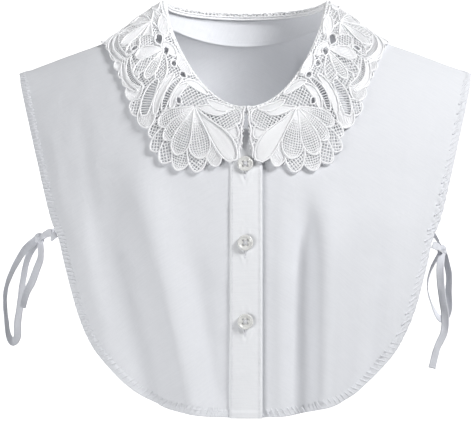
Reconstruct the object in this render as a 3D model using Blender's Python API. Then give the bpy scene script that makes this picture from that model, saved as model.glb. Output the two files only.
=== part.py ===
"""Lace collar dickey: a sleeveless half-shirt of thin cotton with a turned-down lace collar.

Metres, +Z up. The front faces -Y and the wearer's left side is at +X. The origin is the centre
of the neck opening at the height of the shoulder neck points, where the wearer's neck and
shoulders carry the garment. Every cloth piece is a closed wall on one general figure surface.
"""

import math
from collections import namedtuple

import bmesh
import bpy
import numpy as np
from mathutils import Vector
from mathutils.geometry import delaunay_2d_cdt

MM = 0.001

# General figure under the cloth
CHEST_DEPTH_FRONT = 100 * MM
CHEST_DEPTH_BACK = 98 * MM
CHEST_HALF_SPAN = 195 * MM
CHEST_SPAN_POWER = 2.4
CHEST_SPAN_ROOT = 0.6
CHEST_DROP = 210 * MM
FRONT_ROUNDNESS = 0.60
BACK_ROUNDNESS = 0.42
RIDGE_TOP = 30.4 * MM
RIDGE_SLOPE = 0.385
RIDGE_BLEND = 45 * MM

# Cloth walls and seams
CLOTH = 1.2 * MM
SEAM_GAP = 0.3 * MM
HEM_WIDTH = 5.0 * MM
HEM_STEP = 1.2 * MM
HEM_EXTRA = 0.8 * MM

# Neck
NECK_HALF_WIDTH = 65 * MM
NECK_FRONT_DEPTH = 82 * MM
NECK_BACK_DEPTH = 53 * MM
NECK_FRONT_POWER = 2.2
FOLD_HALF_WIDTH = 63 * MM
FOLD_FRONT_DEPTH = 72 * MM
FOLD_BACK_DEPTH = 52 * MM
FOLD_SIDE_HEIGHT = 18 * MM
FOLD_FRONT_FALL = 87.5 * MM
FOLD_BACK_FALL = 5 * MM
FOLD_FALL_POWER = 1.45
STAND_BELOW_FOLD = 1.5 * MM
STAND_ABOVE_SEAM = 1.2 * MM
STAND_STATIONS = 30
STAND_ROWS = 3

# Panels
SHOULDER_TIP_X = 176 * MM
HEM_CENTRE_Z = -296 * MM
BACK_INSET = 3 * MM
OVERLAP = 12 * MM
UNDERLAP = 10.5 * MM
UNDERLAP_EASE = 16 * MM
TOP_LENGTH = 140 * MM
SIDE_TOP_Z = -200 * MM
PANEL_COLUMNS = 17
NECK_ROWS = 9
PANEL_ROWS = 13
BACK_COLUMNS = 12
BACK_ROWS = 11

# Placket and buttons
PLACKET_TRIM = 0.4 * MM
PLACKET_COLUMNS = 3
PLACKET_ROWS = 19
BUTTON_RADIUS = 5.75 * MM
BUTTON_THICKNESS = 2.2 * MM
BUTTON_HOLE_RADIUS = 0.75 * MM
BUTTON_HOLE_OFFSET = 1.5 * MM
BUTTON_SEGMENTS = 18
BUTTON_X = -0.6 * MM
BUTTON_HEIGHTS = (-111.5 * MM, -168.5 * MM, -225.5 * MM)

# Lace collar
LACE = 1.4 * MM
LACE_RAISE = 0.9 * MM
ROLL_RADIUS = 1.5 * MM
ROLL_LEG = 3.0 * MM
ROLL_ARC = math.radians(135)
COLLAR_LIFT = 1.9 * MM
PLACKET_LIFT = 2.2 * MM
FALL_POWER = 1.7
SWELL_AT = 0.25
STAND_CLEAR = 2.7 * MM
STATIONS = 161
SECTION_STEPS = 40
LACE_SPACING = 5.4 * MM
CENTRE_GAP = 0.8 * MM
SEAM_BACK_GAP = 0.3 * MM
LOBE_POINTS = 6
FRONT_LOBE_DEPTH = 2.6 * MM
GAP_POINTS = 8
ROLL_ROWS = (3.0 * MM, 4.7 * MM, 6.5 * MM, 9.2 * MM)
ROLL_ROW_GAP = 1.0 * MM
RAISED_GAP = 2.9 * MM
PETAL_START = 0.16
PETAL_STEPS = 8
PETAL_VEIN = (0.35, 0.55, 0.75, 0.9)

# Ties
TAPE_WIDTH = 6.0 * MM
TAPE_THICKNESS = 1.0 * MM
TAPE_SEAT_GAP = 0.85 * MM
KNOT_RADIUS = 4.6 * MM

# Side edge of a front panel in front view, from the shoulder tip to the centre of the hem.
SIDE_EDGE = [
    {"x": 161, "z": -94},
    {"x": 146, "z": -149},
    {"x": 139, "z": -165},
    {"x": 133, "z": -188},
    {"x": 123, "z": -222},
    {"x": 113, "z": -243},
    {"x": 100, "z": -260},
    {"x": 87, "z": -273},
    {"x": 74, "z": -282},
    {"x": 58, "z": -288.5},
    {"x": 31, "z": -294.5},
    {"x": 0, "z": -296},
]
SIDE_CORNER_X = 113 * MM

Fold = namedtuple("Fold", "name x z end_x end_z half_width height")

# Large folds of each face, in mm: a line from its start to its end, positive where it stands out.
FRONT_FOLDS = [
    Fold("left ridge", -84, -92, -36, -296, 17, 6.5),
    Fold("left trough", -103, -125, -60, -290, 13, -6.0),
    Fold("left side ridge", -134, -120, -92, -275, 14, 3.5),
    Fold("left inner trough", -47, -150, -19, -296, 12, -3.5),
    Fold("right trough", 41, -122, 41, -296, 9, -5.5),
    Fold("right ridge", 65, -125, 58, -292, 15, 6.5),
    Fold("right side trough", 99, -140, 80, -283, 14, -4.0),
    Fold("right side ridge", 124, -120, 104, -258, 13, 3.0),
]
BACK_FOLDS = [
    Fold("left ridge", -92, -90, -70, -288, 17, 5.5),
    Fold("left trough", -58, -110, -40, -293, 14, -4.5),
    Fold("centre ridge", -8, -120, 2, -296, 18, 4.0),
    Fold("right trough", 47, -105, 44, -293, 13, -5.0),
    Fold("right ridge", 83, -100, 78, -285, 16, 5.0),
]
FOLD_FADE = 55 * MM

# Outer edge of the collar: share of the fold's length from the centre front, and where it lands.
COLLAR_EDGE = [
    {"share": 0.00, "face": "front", "x": 3, "z": -108},
    {"share": 0.05, "face": "front", "x": 34, "z": -119},
    {"share": 0.11, "face": "front", "x": 57, "z": -114},
    {"share": 0.18, "face": "front", "x": 73, "z": -99},
    {"share": 0.26, "face": "front", "x": 84, "z": -76},
    {"share": 0.35, "face": "front", "x": 92, "z": -52},
    {"share": 0.46, "face": "front", "x": 101, "z": -34},
    {"share": 0.605, "face": "ridge", "x": 112, "z": 0},
    {"share": 0.72, "face": "back", "x": 101, "z": -26},
    {"share": 0.82, "face": "back", "x": 78, "z": -38},
    {"share": 0.91, "face": "back", "x": 42, "z": -42},
    {"share": 1.00, "face": "back", "x": 0, "z": -42},
]

# Free ends of the ties, in mm: x, y, z and the angle that the tape's face is turned from the front.
TIES = {
    "tie_left_front_run": [
        {"x": -141.5, "y": -62, "z": -162, "turn": 80},
        {"x": -147, "y": -46, "z": -161.5, "turn": 70},
        {"x": -153, "y": -28, "z": -162.5, "turn": 55},
        {"x": -157.6, "y": -11.5, "z": -165, "turn": 45},
    ],
    "tie_left_back_run": [
        {"x": -140.5, "y": 62, "z": -159, "turn": 100},
        {"x": -148, "y": 44, "z": -160.5, "turn": 105},
        {"x": -156, "y": 22, "z": -163, "turn": 115},
        {"x": -159.6, "y": 2.5, "z": -165.6, "turn": 120},
    ],
    "tie_left_loop": [
        {"x": -165.3, "y": -8, "z": -168.4, "turn": 20},
        {"x": -171, "y": -9.5, "z": -175, "turn": 35},
        {"x": -180, "y": -10, "z": -190, "turn": 50},
        {"x": -185.4, "y": -9, "z": -204, "turn": 60},
        {"x": -186.6, "y": -8, "z": -217, "turn": 65},
        {"x": -185.6, "y": -7, "z": -231, "turn": 60},
        {"x": -184.2, "y": -6, "z": -241.5, "turn": 50},
        {"x": -181.0, "y": -5, "z": -247.2, "turn": 35},
        {"x": -177.6, "y": -4, "z": -243, "turn": 10},
        {"x": -177.4, "y": -3, "z": -232, "turn": -10},
        {"x": -175.8, "y": -2, "z": -220, "turn": -20},
        {"x": -173.4, "y": -1, "z": -199, "turn": -30},
        {"x": -169.8, "y": 0, "z": -182, "turn": -30},
        {"x": -165.0, "y": 0.5, "z": -171.2, "turn": -20},
    ],
    "tie_left_tail": [
        {"x": -157.6, "y": -7.5, "z": -171.4, "turn": -35},
        {"x": -158.8, "y": -10, "z": -181, "turn": -25},
        {"x": -161.6, "y": -12, "z": -190, "turn": -10},
        {"x": -165.2, "y": -13, "z": -200, "turn": 10},
        {"x": -169.6, "y": -14, "z": -209, "turn": 25},
        {"x": -172.6, "y": -15, "z": -220.5, "turn": 35},
    ],
    "tie_right_front_run": [
        {"x": 137.6, "y": -63, "z": -170, "turn": -80},
        {"x": 143, "y": -46, "z": -171, "turn": -65},
        {"x": 148.5, "y": -27, "z": -173, "turn": -50},
        {"x": 151.4, "y": -11.6, "z": -175, "turn": -35},
    ],
    "tie_right_back_run": [
        {"x": 138.5, "y": 61, "z": -160, "turn": -100},
        {"x": 144, "y": 44, "z": -161, "turn": -105},
        {"x": 150, "y": 25, "z": -164.5, "turn": -110},
        {"x": 153.4, "y": 2.4, "z": -172.6, "turn": -115},
    ],
    "tie_right_loop": [
        {"x": 149.4, "y": -2, "z": -180.4, "turn": 50},
        {"x": 145.6, "y": -3, "z": -187.5, "turn": 65},
        {"x": 142.2, "y": -4, "z": -198, "turn": 75},
        {"x": 142.0, "y": -5, "z": -208, "turn": 80},
        {"x": 145.2, "y": -6, "z": -219, "turn": 70},
        {"x": 149.6, "y": -7, "z": -227, "turn": 45},
        {"x": 154.2, "y": -7.5, "z": -228.5, "turn": 15},
        {"x": 157.6, "y": -7, "z": -221, "turn": -20},
        {"x": 157.8, "y": -6, "z": -208, "turn": -35},
        {"x": 158.2, "y": -4.5, "z": -194, "turn": -40},
        {"x": 156.8, "y": -3, "z": -180.6, "turn": -40},
    ],
    "tie_right_tail": [
        {"x": 151.6, "y": -11.8, "z": -180.2, "turn": 10},
        {"x": 150.4, "y": -14, "z": -188, "turn": 0},
        {"x": 150.6, "y": -15, "z": -200, "turn": -10},
        {"x": 152.2, "y": -15.5, "z": -214, "turn": -20},
        {"x": 154.0, "y": -16, "z": -227, "turn": -15},
        {"x": 153.0, "y": -16.5, "z": -239, "turn": 0},
        {"x": 147.6, "y": -17, "z": -251, "turn": 20},
        {"x": 143.6, "y": -17.5, "z": -266.5, "turn": 10},
    ],
}
KNOTS = {
    "tie_left_knot": {"x": -160.4, "y": -4.5, "z": -166.4},
    "tie_right_knot": {"x": 152.8, "y": -5.0, "z": -175.6},
}

# Lace design on the flat pattern, in mm: along is measured on the fold from the centre front and
# out from the collar's inner edge; turn is the petal's direction from straight out.
PALMETTES = [
    {"along": 44, "out": 34, "petals": 9, "first": -100, "last": 92, "length": 44, "width": 15},
    {"along": 128, "out": 30, "petals": 7, "first": -98, "last": 98, "length": 33, "width": 14},
    {"along": 196, "out": 32, "petals": 7, "first": -96, "last": 96, "length": 33, "width": 14},
]
LEAVES = [
    {"along": 14, "out": 12, "turn": 84, "length": 26, "width": 9},
    {"along": 66, "out": 10, "turn": 80, "length": 26, "width": 10},
    {"along": 98, "out": 10, "turn": 96, "length": 24, "width": 10},
    {"along": 150, "out": 10, "turn": 84, "length": 26, "width": 10},
    {"along": 214, "out": 10, "turn": -84, "length": 24, "width": 10},
]
# Scallops of the outer edge: distance along the fold where each starts, and its depth
SCALLOPS = [
    (0, 4), (6, 5), (13, 6), (21, 6), (30, 6), (42, 6),
    (56, 6), (71, 6), (86, 6), (102, 6), (118, 6), (134, 6),
    (150, 6), (165, 6), (180, 6), (196, 6), (212, 6), (228, 6),
]
FRONT_LOBES = [
    {"start": 1.00, "stop": 0.74, "inset": 6.5},
    {"start": 0.74, "stop": 0.40, "inset": 0.4},
    {"start": 0.40, "stop": 0.00, "inset": 0.0},
]
GAPS = [
    {"along": 44, "out": 32, "length": 7.5, "width": 4.8, "turn": 100},
    {"along": 56, "out": 16.5, "length": 8.5, "width": 5.2, "turn": 86},
    {"along": 69, "out": 17, "length": 8.5, "width": 5.0, "turn": 102},
    {"along": 83, "out": 17, "length": 9.5, "width": 5.4, "turn": 101},
    {"along": 97, "out": 18, "length": 12.0, "width": 7.0, "turn": 95},
    {"along": 106, "out": 38, "length": 8.5, "width": 5.0, "turn": 30},
    {"along": 137, "out": 31, "length": 8.0, "width": 5.2, "turn": 0},
    {"along": 162, "out": 40, "length": 8.5, "width": 5.0, "turn": 0},
    {"along": 175, "out": 31, "length": 8.0, "width": 5.2, "turn": 0},
    {"along": 212, "out": 31, "length": 8.0, "width": 5.2, "turn": 0},
]

COTTON = {"colour": (0.86, 0.87, 0.90, 1), "roughness": 0.85}
LACE_THREAD = {"colour": (0.93, 0.93, 0.94, 1), "roughness": 0.70}
TAPE = {"colour": (0.84, 0.85, 0.88, 1), "roughness": 0.80}
BUTTON = {"colour": (0.90, 0.90, 0.89, 1), "roughness": 0.25}


def clear_scene():
    """Empties the scene."""
    for old in list(bpy.data.objects):
        bpy.data.objects.remove(old, do_unlink=True)


def finish(name, look):
    """The Principled material of one object."""
    material = bpy.data.materials.new(name)
    material.use_nodes = True
    shader = material.node_tree.nodes["Principled BSDF"]
    shader.inputs["Base Color"].default_value = look["colour"]
    shader.inputs["Roughness"].default_value = look["roughness"]
    shader.inputs["Metallic"].default_value = 0.0
    return material


def add_object(name, points, faces, look):
    """A mesh object with its own material, shaded smooth but for its sharp edges."""
    mesh = bpy.data.meshes.new(name)
    mesh.from_pydata([tuple(point) for point in points], [], [tuple(face) for face in faces])
    mesh.materials.append(finish(name, look))
    mesh.shade_smooth()
    mesh.set_sharp_from_angle(angle=math.radians(40))
    made = bpy.data.objects.new(name, mesh)
    bpy.context.scene.collection.objects.link(made)
    return made


def wall(name, points, faces, normals, inner, outer, look):
    """One closed wall between the surface moved by inner and by outer along its normals."""
    count = len(points)
    faces = np.asarray(faces)
    a, b, c = (points[faces[:, k]] for k in range(3))
    if float((np.cross(b - a, c - a) * normals[faces[:, 0]]).sum()) < 0:
        faces = faces[:, ::-1]
    faces = faces.tolist()
    outside = points + normals * np.broadcast_to(outer, count)[:, None]
    inside = points + normals * np.broadcast_to(inner, count)[:, None]
    directed = {(face[k], face[(k + 1) % 3]) for face in faces for k in range(3)}
    rim = [(a, b) for a, b in directed if (b, a) not in directed]
    sheets = [tuple(face) for face in faces]
    sheets += [(c + count, b + count, a + count) for a, b, c in faces]
    sheets += [(b, a, a + count) for a, b in sorted(rim)]
    sheets += [(b, a + count, b + count) for a, b in sorted(rim)]
    return add_object(name, np.vstack([outside, inside]), sheets, look)


def chest_depth(x, deepest):
    """Depth of the figure at its fullest, at a distance x from its middle."""
    reach = np.clip(np.abs(x) / CHEST_HALF_SPAN, 0, 0.995)
    return deepest * (1 - reach**CHEST_SPAN_POWER) ** CHEST_SPAN_ROOT


def ridge_height(x):
    """Height of the shoulder line, which rounds over the neck."""
    return RIDGE_TOP - RIDGE_SLOPE * np.sqrt(np.asarray(x) ** 2 + RIDGE_BLEND**2)


def figure(x, turn):
    """Points of the figure: turn is 0 on the shoulder line, negative in front, in radians."""
    x, turn = np.broadcast_arrays(np.asarray(x, float), np.asarray(turn, float))
    swing = np.clip(np.abs(turn), 0, math.pi / 2)
    below = np.abs(turn) - swing
    front = -chest_depth(x, CHEST_DEPTH_FRONT) * np.sin(swing) ** (2 * FRONT_ROUNDNESS)
    back = chest_depth(x, CHEST_DEPTH_BACK) * np.sin(swing) ** (2 * BACK_ROUNDNESS)
    y = np.where(turn < 0, front, back)
    z = ridge_height(x) - CHEST_DROP * (1 - np.cos(swing)) - CHEST_DROP * below
    return np.stack([x, y, z], axis=-1)


def turn_at_height(x, z, face):
    """The turn of the figure's point with this x and z, on the front or the back."""
    drop = (ridge_height(x) - z) / CHEST_DROP
    size = np.where(drop < 1, np.arccos(np.clip(1 - drop, -1, 1)), math.pi / 2 + drop - 1)
    return size if face == "back" else -size


def turn_at_depth(x, y):
    """The turn of the figure's point above this x and y of the ground plan."""
    deepest = CHEST_DEPTH_FRONT if y < 0 else CHEST_DEPTH_BACK
    roundness = FRONT_ROUNDNESS if y < 0 else BACK_ROUNDNESS
    share = min(abs(y) / float(chest_depth(x, deepest)), 1.0)
    return math.copysign(math.asin(share ** (0.5 / roundness)), y)


def fold_height(x, z, folds):
    """How far the cloth stands out of the figure in its large folds."""
    total = np.zeros(np.broadcast(x, z).shape)
    for fold in folds:
        share = (z - fold.z * MM) / ((fold.end_z - fold.z) * MM)
        line = fold.x * MM + (fold.end_x - fold.x) * MM * share
        fade = np.clip((fold.z * MM - z) / FOLD_FADE, 0, 1)
        across = (x - line) / (fold.half_width * MM)
        total = total + fold.height * MM * fade * fade * (3 - 2 * fade) * np.exp(-across * across)
    return total


def skin(x, turn):
    """The cloth's own surface: the figure with its large folds."""
    base = figure(x, turn)
    front = fold_height(base[..., 0], base[..., 2], FRONT_FOLDS)
    back = fold_height(base[..., 0], base[..., 2], BACK_FOLDS)
    base[..., 1] += np.where(np.asarray(turn) < 0, -front, back)
    return base


def skin_normals(x, turn):
    """Outward normals of the cloth's surface."""
    step = 0.004
    down = np.where(np.asarray(turn) < 0, -1.0, 1.0)
    near = np.where(np.abs(turn) < step, down * step, turn)
    along = skin(np.asarray(x) + step / 4, near) - skin(np.asarray(x) - step / 4, near)
    fall = skin(x, near + down * step / 2) - skin(x, near - down * step / 2)
    normal = np.cross(fall, along) * down[..., None] * -1
    normal = np.where(normal[..., 1:2] * np.asarray(down)[..., None] < 0, -normal, normal)
    return normal / np.linalg.norm(normal, axis=-1, keepdims=True)


def lengths(points):
    """Distance along a line of points, from 0."""
    return np.concatenate([[0], np.cumsum(np.linalg.norm(np.diff(points, axis=0), axis=1))])


def resample(line, shares):
    """The (x, turn) points at these shares of a line's length on the cloth."""
    run = lengths(skin(line[:, 0], line[:, 1]))
    run /= run[-1]
    return np.stack([np.interp(shares, run, line[:, k]) for k in range(2)], axis=1)


def smooth_line(points, samples):
    """A Catmull-Rom curve through the points."""
    points = np.asarray(points, float)
    ends = np.vstack([2 * points[0] - points[1], points, 2 * points[-1] - points[-2]])
    made = []
    for k in range(len(points) - 1):
        a, b, c, d = ends[k : k + 4]
        for t in np.linspace(0, 1, samples, endpoint=False):
            made.append(
                0.5 * (2 * b + (c - a) * t + (2 * a - 5 * b + 4 * c - d) * t * t
                       + (3 * b - a - 3 * c + d) * t**3)
            )
    made.append(points[-1])
    return np.array(made)


def neck_point(angle):
    """Ground plan of the neck seam, 90 degrees at the centre front and -90 at the centre back."""
    c, s = math.cos(angle), math.sin(angle)
    if s <= 0:
        return NECK_HALF_WIDTH * c, -NECK_BACK_DEPTH * s
    power = 2 / NECK_FRONT_POWER
    return NECK_HALF_WIDTH * max(c, 0.0) ** power, -NECK_FRONT_DEPTH * s**power


def fold_point(angle):
    """The ring where the collar folds over, at the same angle as the neck seam."""
    c, s = math.cos(angle), math.sin(angle)
    if s <= 0:
        height = FOLD_SIDE_HEIGHT + FOLD_BACK_FALL * s
        return np.array([FOLD_HALF_WIDTH * c, -FOLD_BACK_DEPTH * s, height])
    height = FOLD_SIDE_HEIGHT - FOLD_FRONT_FALL * s**FOLD_FALL_POWER
    return np.array([FOLD_HALF_WIDTH * c, -FOLD_FRONT_DEPTH * s, height])


def neck_line(start, stop, count, side):
    """The neck seam as (x, turn) points between two angles, on the side of this sign."""
    made = []
    for angle in np.linspace(start, stop, count):
        x, y = neck_point(angle)
        made.append((side * x, turn_at_depth(x, y) if abs(y) > 1e-9 else 0.0))
    return np.array(made)


def side_outline(side, face, inset):
    """The outer edge from the shoulder tip to the centre hem, as (x, turn) points."""
    made = [(SHOULDER_TIP_X - inset, 0.0)]
    tip = np.array([SHOULDER_TIP_X - inset, float(ridge_height(SHOULDER_TIP_X - inset))])
    outline = np.array([tip] + [(row["x"] * MM, row["z"] * MM) for row in SIDE_EDGE])
    for x, z in smooth_line(outline, 6)[1:]:
        x_in = max(x - inset * min(1.0, x / SIDE_CORNER_X), 0.0)
        made.append((x_in, float(turn_at_height(x_in, z + inset * (z < SIDE_TOP_Z), face))))
    line = np.array(made)
    line[:, 0] *= side
    return line


def coons(top, bottom, inner, outer, columns, rows):
    """Grid of (x, turn) points between four edges; top and bottom run from inner to outer."""
    u, v = columns[None, :, None], rows[:, None, None]
    across = (1 - v) * top[None] + v * bottom[None]
    down = (1 - u) * inner[:, None] + u * outer[:, None]
    corners = (1 - v) * ((1 - u) * top[0] + u * top[-1]) + v * ((1 - u) * bottom[0] + u * bottom[-1])
    return across + down - corners


def grid_faces(rows, columns):
    """Triangles of a grid, both halves of each cell cut the same way."""
    made = []
    for i in range(rows - 1):
        for j in range(columns - 1):
            a, b = i * columns + j, i * columns + j + 1
            c, d = b + columns, a + columns
            made += [(a, b, c), (a, c, d)]
    return made


def shares_with_hem(count, length, corner=None):
    """Even shares with one at the corner, then the two lines that bound the turned hem."""
    stop = 1 - (HEM_WIDTH + HEM_STEP) / length
    inner = np.linspace(0, stop, count)
    if corner is not None:
        above = np.linspace(0, corner, NECK_ROWS, endpoint=False)
        inner = np.concatenate([above, np.linspace(corner, stop, count)])
    return np.concatenate([inner, [1 - HEM_WIDTH / length, 1]])


def panel_grid(side, face, past_centre, inset, column_count, row_count):
    """Grid of a half panel from shoulder to hem and from the centre to the side."""
    middle = math.pi / 2 if face == "front" else -math.pi / 2
    centre = neck_line(0, middle, 40, side)
    if past_centre > 0:
        steps = [past_centre * k / 4 for k in range(1, 5)]
        beyond = [(-side * x, turn_at_depth(x, -NECK_FRONT_DEPTH)) for x in steps]
        centre = np.vstack([centre, beyond])
    outline = side_outline(side, face, inset)
    corner = int(np.argmin(np.abs(np.abs(outline[:, 0]) - (SIDE_CORNER_X - inset))))
    hem_z = HEM_CENTRE_Z + inset
    centre_x = centre[-1, 0]
    hem_turn = float(turn_at_height(abs(centre_x), hem_z, face))
    down = np.column_stack([np.full(30, centre_x), np.linspace(centre[-1, 1], hem_turn, 30)])
    inner = np.vstack([centre, down[1:]])
    hem = outline[corner:]
    if past_centre > 0:
        hem = np.vstack([hem, [(centre_x, hem_turn)]])
    top = np.column_stack([np.linspace(inner[0, 0], outline[0, 0], 40), np.zeros(40)])
    columns = shares_with_hem(column_count, TOP_LENGTH)
    run = lengths(skin(inner[:, 0], inner[:, 1]))
    corner_share = run[len(centre) - 1] / run[-1]
    rows = shares_with_hem(row_count, run[-1], corner_share)
    edges = [
        resample(top, columns),
        resample(hem[::-1], columns),
        resample(inner, rows),
        resample(outline[: corner + 1], rows),
    ]
    return coons(*edges, columns, rows)


def hem_extra(rows, columns):
    """Extra thickness of the turned hem at the last two lines of both directions."""
    extra = np.zeros((rows, columns))
    extra[-2:, :] = HEM_EXTRA
    extra[:, -2:] = HEM_EXTRA
    return extra.reshape(-1)


def trim_from_seam(grid):
    """Moves the shoulder row half a seam gap from the shoulder line."""
    moved = grid.copy()
    away = math.copysign(SEAM_GAP / 2, grid[1, 0, 1])
    moved[0, :, 1] = [turn_at_depth(x, away) for x in grid[0, :, 0]]
    return moved


def front_panel(name, side, past_centre, underlap):
    """A front panel; the one with an underlap passes below the other at the centre."""
    grid = trim_from_seam(panel_grid(side, "front", past_centre, 0.0, PANEL_COLUMNS, PANEL_ROWS))
    rows, columns = grid.shape[:2]
    x, turn = grid[..., 0].reshape(-1), grid[..., 1].reshape(-1)
    points, normals = skin(x, turn), skin_normals(x, turn)
    if underlap:
        ease = np.clip((OVERLAP + UNDERLAP_EASE - side * x) / UNDERLAP_EASE, 0, 1)
        sink = (CLOTH + SEAM_GAP * 2) * ease * ease * (3 - 2 * ease)
        points = points - normals * sink[:, None]
    thick = CLOTH + hem_extra(rows, columns)
    if underlap:
        near = side * x < OVERLAP + HEM_WIDTH
        thick = np.where(near, CLOTH, thick)
    return wall(name, points, grid_faces(rows, columns), normals, 0.0, thick, COTTON)


def back_panel(name):
    """The back panel in one piece, its halves joined along the centre back."""
    halves = []
    for side in (-1, 1):
        grid = panel_grid(side, "back", 0.0, BACK_INSET, BACK_COLUMNS, BACK_ROWS)
        halves.append(trim_from_seam(grid))
    rows, columns = halves[0].shape[:2]
    shape = bmesh.new()
    layer = shape.verts.layers.float.new("extra")
    extra = hem_extra(rows, columns)
    for side, grid in zip((-1, 1), halves):
        x, turn = grid[..., 0].reshape(-1), grid[..., 1].reshape(-1)
        placed = np.column_stack([x, turn, np.zeros(len(x))])
        verts = [shape.verts.new(Vector(point)) for point in placed]
        for vert, more in zip(verts, extra):
            vert[layer] = more
        for face in grid_faces(rows, columns):
            shape.faces.new([verts[k] for k in (face if side > 0 else face[::-1])])
    bmesh.ops.remove_doubles(shape, verts=shape.verts, dist=1e-6)
    shape.verts.index_update()
    plan = np.array([vert.co for vert in shape.verts])
    thick = CLOTH + np.array([vert[layer] for vert in shape.verts])
    faces = [tuple(vert.index for vert in face.verts) for face in shape.faces]
    shape.free()
    points, normals = skin(plan[:, 0], plan[:, 1]), skin_normals(plan[:, 0], plan[:, 1])
    return wall(name, points, faces, normals, 0.0, thick, COTTON)


def placket(name):
    """The buttoned strip down the centre, laid on the wearer's right front."""
    across = np.linspace(-OVERLAP, OVERLAP - PLACKET_TRIM, PLACKET_COLUMNS)
    grid = np.zeros((PLACKET_ROWS, PLACKET_COLUMNS, 2))
    for j, x in enumerate(across):
        start = turn_at_depth(abs(x), -NECK_FRONT_DEPTH)
        stop = float(turn_at_height(abs(x), HEM_CENTRE_Z, "front"))
        grid[:, j, 0] = x
        band = (HEM_WIDTH + 3 * HEM_STEP) / CHEST_DROP
        grid[:-2, j, 1] = np.linspace(start, stop + band, PLACKET_ROWS - 2)
        grid[-2:, j, 1] = (stop + band - HEM_STEP / CHEST_DROP, stop)
    x, turn = grid[..., 0].reshape(-1), grid[..., 1].reshape(-1)
    low = CLOTH + SEAM_GAP
    rows, columns = grid.shape[:2]
    extra = np.zeros((rows, columns))
    extra[-2:, :] = HEM_EXTRA
    low = low + extra.reshape(-1)
    points, normals = skin(x, turn), skin_normals(x, turn)
    return wall(name, points, grid_faces(rows, columns), normals, low, low + CLOTH, COTTON)


def ring_frame(angle, side):
    """Neck seam point, fold point and the unit vectors rise and out at one angle of the ring."""
    x, y = neck_point(angle)
    turn = turn_at_depth(x, y) if abs(y) > 1e-9 else 0.0
    seam = skin(x, turn)
    fold = fold_point(angle)
    rise = (fold - seam) / np.linalg.norm(fold - seam)
    step = 0.01
    along = fold_point(angle + step) - fold_point(angle - step)
    out = np.cross(rise, along)
    out /= np.linalg.norm(out)
    if out @ np.array([math.cos(angle), -math.sin(angle), 0]) < 0:
        out = -out
    flip = np.array([side, 1, 1])
    return {
        "x": side * x,
        "turn": turn,
        "seam": seam * flip,
        "fold": fold * flip,
        "rise": rise * flip,
        "out": out * flip,
    }


def neck_stand(name):
    """The stand between the neck seam and the fold, open at the centre front."""
    angles = np.radians(np.linspace(89, -90, STAND_STATIONS))
    stations = [ring_frame(angle, -1) for angle in angles]
    stations += [ring_frame(angle, 1) for angle in angles[-2::-1]]
    points, normals = [], []
    for station in stations:
        seam_normal = skin_normals(station["x"], station["turn"])
        lean = max(float(seam_normal @ station["rise"]), 0.0)
        start = STAND_ABOVE_SEAM + CLOTH * lean
        height = np.linalg.norm(station["fold"] - station["seam"]) - STAND_BELOW_FOLD
        for k in range(STAND_ROWS):
            lift = start + (height - start) * k / (STAND_ROWS - 1)
            points.append(station["seam"] + station["rise"] * lift)
            normals.append(station["out"])
    faces = grid_faces(len(stations), STAND_ROWS)
    return wall(name, np.array(points), faces, np.array(normals), 0.0, CLOTH, COTTON)


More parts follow.
